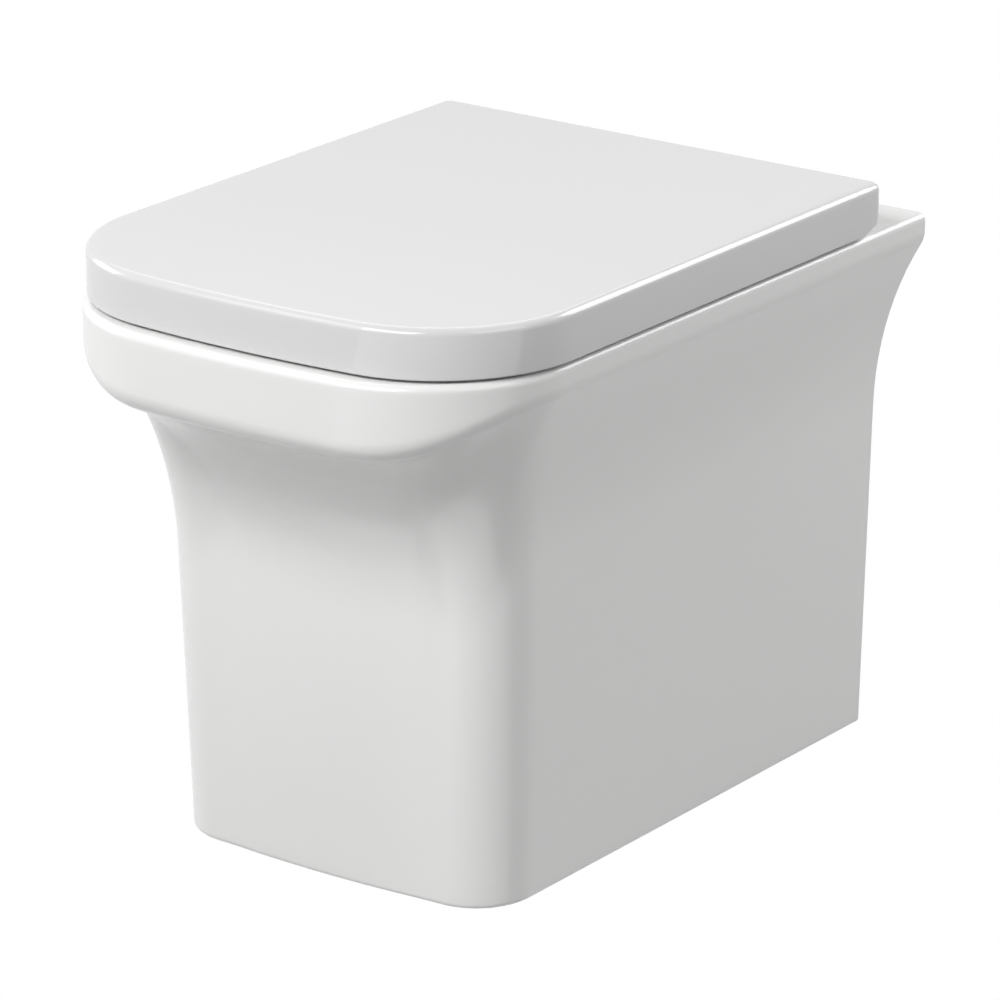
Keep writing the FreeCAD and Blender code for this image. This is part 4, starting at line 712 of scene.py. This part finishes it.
class TOILET_OT_lid(bpy.types.Operator):
    """Make the wrap-over lid: a wall with a rounded top edge round a flat top, hollow below"""
    bl_idname = "toilet.lid"
    bl_label = "Lid"

    def execute(self, context):
        lid = context.scene.toilet_lid
        hinge = context.scene.toilet_hinge
        flat, normal = outline_loop(lid)

        # The lower edge rises towards the rear along a quarter circle, the heel
        heel_y = -lid.setback - lid.heel
        behind = np.clip(flat[:, 1] - heel_y, 0, lid.heel)
        low = (lid.low + lid.heel - np.sqrt(lid.heel ** 2 - behind ** 2))[:, None]

        # Rows down the wall's inside, round its lower edge and up its outside: inset from outline, level
        edge = lid.edge
        ceiling = lid.top - lid.wall
        ones = np.ones_like(low)
        small = lid.lower_edge
        inner = lid.inner_edge
        insets = [lid.wall + inner * (1 - np.sin(QUARTER)) * ones,
                  lid.wall * ones,
                  lid.wall - small * (1 - np.cos(QUARTER)) * ones,
                  small * (1 - np.sin(QUARTER)) * ones,
                  np.zeros_like(low),
                  edge * (1 - np.cos(QUARTER)) * ones]
        levels = [ceiling - inner * (1 - np.cos(QUARTER)) * ones,
                  (low + ceiling - inner) / 2,
                  low + small * (1 - np.sin(QUARTER)),
                  low + small * (1 - np.cos(QUARTER)),
                  (low + lid.top - edge) / 2,
                  lid.top - edge * (1 - np.sin(QUARTER)) * ones]
        inset = np.hstack(insets)
        level = np.hstack(levels)
        place = flat[:, None] - normal[:, None] * inset[..., None]
        wall = np.concatenate([place, level[..., None]], axis=-1)

        # Top and ceiling run in straight steps from the wall's ends to the middle
        middle = np.array([0.0, -(lid.depth + lid.setback) / 2, 0.0])
        inwards = LID_STEPS[None, :, None]
        over = wall[:, -1:] + (middle + [0, 0, lid.top] - wall[:, -1:]) * inwards
        under = wall[:, :1] + (middle + [0, 0, ceiling] - wall[:, :1]) * inwards[:, ::-1]
        shell = np.concatenate([under, wall, over], axis=1)
        lugs = lug_triangles("seat_lid", hinge.lid_near, hinge.lid_far, hinge.lid_reach)
        new_piece("lid_shell", [(shell, grid_faces(*shell.shape[:2], closed_rows=True))], lugs,
                  "lid", ["seat_lid"], bpy.data.materials["seat"])
        return {"FINISHED"}


class TOILET_OT_ring(bpy.types.Operator):
    """Make the seat ring: a rounded strip between two outlines, with a hollow underside"""
    bl_idname = "toilet.ring"
    bl_label = "Seat ring"

    def execute(self, context):
        ring = context.scene.toilet_ring
        hinge = context.scene.toilet_hinge
        flat, normal = outline_loop(ring)
        hole = opening_facing(flat, ring.opening_half, ring.opening_front, ring.opening_rear,
                              ring.opening_corner, ring.opening_corner)

        def outer(inset):
            return flat - normal * inset

        # Rows from the hollow's ceiling up the outside, over the top and down the opening to the ceiling
        edge = ring.edge
        bevel = ring.lower_edge
        ceiling = ring.low + ring.hollow
        rows = [lift(outer(ring.wall), ceiling), lift(outer(ring.wall), ring.low),
                lift(outer(bevel), ring.low), lift(outer(0), ring.low + bevel)]
        rows += [lift(outer(edge * (1 - math.cos(turn))), ring.top - edge * (1 - math.sin(turn)))
                 for turn in QUARTER]
        rows += [lift(outer(edge) + (hole(edge) - outer(edge)) * step, ring.top)
                 for step in np.linspace(0, 1, RING_ROWS)[1:-1]]
        rows += [lift(hole(edge * (1 - math.cos(turn))), ring.top - edge * (1 - math.sin(turn)))
                 for turn in QUARTER[::-1]]
        rows += [lift(hole(0), ring.low + bevel), lift(hole(bevel), ring.low),
                 lift(hole(ring.wall), ring.low), lift(hole(ring.wall), ceiling)]
        strip = np.stack(rows, axis=1)
        lugs = lug_triangles("seat_ring", hinge.ring_near, hinge.ring_far, hinge.ring_reach)
        faces = grid_faces(*strip.shape[:2], closed_rows=True, closed_columns=True)
        new_piece("ring_shell", [(strip, faces)], lugs, "seat", ["seat_ring"],
                  bpy.data.materials["seat"])
        return {"FINISHED"}


# Softboxes: name, turn from the front and rise in degrees, width and height in metres, power in watts
LAMPS = [
    ("key", 0, 43, 1.5, 1.2, 39),
    ("front_left", -28, 39, 1.5, 1.2, 11),
    ("low_left", -80, 20, 1.5, 1.2, 18),
    ("right", 80, 41, 1.5, 1.2, 12),
    ("rear_right", 152, 32, 1.2, 1.3, 31),
    ("rear_left", -140, 45, 1.5, 1.2, 7),
]

# Bright panel low in front: directions to its inner side from each edge, and its glow over plain white
PANEL_EDGES = [(1.0, -0.22, -0.66), (0.21, -1.0, 0.42), (0.0, 0.0, -1.0)]
PANEL_GLOW = 1.0


def add_camera(scene, stage):
    """Camera whose place, turn and zoom fit the photograph's outline."""
    camera = bpy.data.cameras.new("camera")
    camera.lens = stage.zoom * camera.sensor_width
    camera.clip_end = stage.view_end
    eye = bpy.data.objects.new("camera", camera)
    eye.location = stage.eye
    eye.rotation_euler = (math.pi / 2 - stage.view_rise, 0, stage.view_turn)
    scene.collection.objects.link(eye)
    scene.camera = eye


def add_surroundings(scene):
    """White where they are seen straight on, in gloss or through glass, and no light for the rest.

    Gloss also sees a brighter panel: directions on the inner side of all the planes of its edges.
    """
    world = bpy.data.worlds.new("surroundings")
    world.use_nodes = True
    scene.world = world
    tree = world.node_tree
    path = tree.nodes.new("ShaderNodeLightPath")
    gloss = path.outputs["Is Glossy Ray"]
    white = math_node(tree, "MAXIMUM", path.outputs["Is Camera Ray"], gloss)
    white = math_node(tree, "MAXIMUM", white, path.outputs["Is Transmission Ray"])
    direction = tree.nodes.new("ShaderNodeTexCoord").outputs["Generated"]
    panel = gloss
    for edge in PANEL_EDGES:
        side = tree.nodes.new("ShaderNodeVectorMath")
        side.operation = "DOT_PRODUCT"
        tree.links.new(direction, side.inputs[0])
        side.inputs[1].default_value = edge
        inside = math_node(tree, "GREATER_THAN", side.outputs["Value"], 0)
        panel = math_node(tree, "MULTIPLY", panel, inside)
    background = tree.nodes["Background"]
    background.inputs["Color"].default_value = (1, 1, 1, 1)
    strength = math_node(tree, "MULTIPLY_ADD", panel, PANEL_GLOW, white)
    tree.links.new(strength, background.inputs["Strength"])


def add_floor(scene, stage):
    """Pale, dull floor that sends soft light back up and isn't seen itself."""
    material = bpy.data.materials.new("pale_floor")
    material.use_nodes = True
    shader = material.node_tree.nodes["Principled BSDF"]
    shader.inputs["Base Color"].default_value = (*stage.floor_colour, 1)
    shader.inputs["Roughness"].default_value = stage.floor_roughness
    mesh = bpy.data.meshes.new("floor")
    corners = np.array([(-1, -1), (1, -1), (1, 1), (-1, 1)]) * stage.floor_half
    mesh.from_pydata(lift(corners, stage.floor_level).tolist(), [], [(0, 1, 2, 3)])
    mesh.materials.append(material)
    floor = bpy.data.objects.new("floor", mesh)
    floor.visible_camera = False
    floor.visible_glossy = False
    scene.collection.objects.link(floor)


def add_lamps(scene, stage):
    """Softboxes that face one point, each placed by its turn and rise about it."""
    for name, turn, rise, width, height, watts in LAMPS:
        turn = math.radians(turn)
        rise = math.radians(rise)
        lamp = bpy.data.lights.new(name, "AREA")
        lamp.shape = "RECTANGLE"
        lamp.size = width
        lamp.size_y = height
        lamp.energy = watts
        holder = bpy.data.objects.new(name, lamp)
        away = np.array([math.cos(rise) * math.sin(turn), -math.cos(rise) * math.cos(turn), math.sin(rise)])
        holder.location = np.array(stage.aim) + away * stage.lamp_distance
        holder.rotation_euler = (math.pi / 2 - rise, 0, turn)
        scene.collection.objects.link(holder)


class TOILET_OT_stage(bpy.types.Operator):
    """Set up the camera, the white surroundings, the floor and the softboxes"""
    bl_idname = "toilet.stage"
    bl_label = "Camera and light"

    def execute(self, context):
        scene = context.scene
        stage = scene.toilet_stage
        scene.view_settings.view_transform = "Standard"
        add_camera(scene, stage)
        add_surroundings(scene)
        add_floor(scene, stage)
        add_lamps(scene, stage)
        return {"FINISHED"}


class TOILET_PT_panel(bpy.types.Panel):
    """Buttons and sizes of the toilet"""
    bl_idname = "TOILET_PT_panel"
    bl_label = "Wall hung toilet"
    bl_space_type = "VIEW_3D"
    bl_region_type = "UI"
    bl_category = "Toilet"

    def draw(self, context):
        for operator in OPERATORS:
            self.layout.operator(operator.bl_idname)
        for name in SETTINGS:
            settings = getattr(context.scene, name)
            column = self.layout.column(align=True)
            for field in settings.bl_rna.properties:
                if field.identifier not in ("rna_type", "name"):
                    column.prop(settings, field.identifier)


SETTINGS = {
    "toilet_pan": PanShape, "toilet_lid": LidShape, "toilet_ring": RingShape,
    "toilet_hinge": HingeShape, "toilet_finishes": Finishes, "toilet_stage": StageShape,
}
OPERATORS = [TOILET_OT_finishes, TOILET_OT_pan, TOILET_OT_lid, TOILET_OT_ring, TOILET_OT_stage]


def register():
    """Register the classes and put their settings on the scene."""
    for cls in [*SETTINGS.values(), *OPERATORS, TOILET_PT_panel]:
        bpy.utils.register_class(cls)
    for name, cls in SETTINGS.items():
        setattr(bpy.types.Scene, name, bpy.props.PointerProperty(type=cls))


def unregister():
    """Take the settings off the scene and unregister the classes."""
    for name in SETTINGS:
        delattr(bpy.types.Scene, name)
    for cls in reversed([*SETTINGS.values(), *OPERATORS, TOILET_PT_panel]):
        bpy.utils.unregister_class(cls)


def main():
    """Make every piece and the stage."""
    register()
    bpy.ops.toilet.finishes()
    bpy.ops.toilet.pan()
    bpy.ops.toilet.lid()
    bpy.ops.toilet.ring()
    bpy.ops.toilet.stage()


if __name__ == "__main__":
    main()
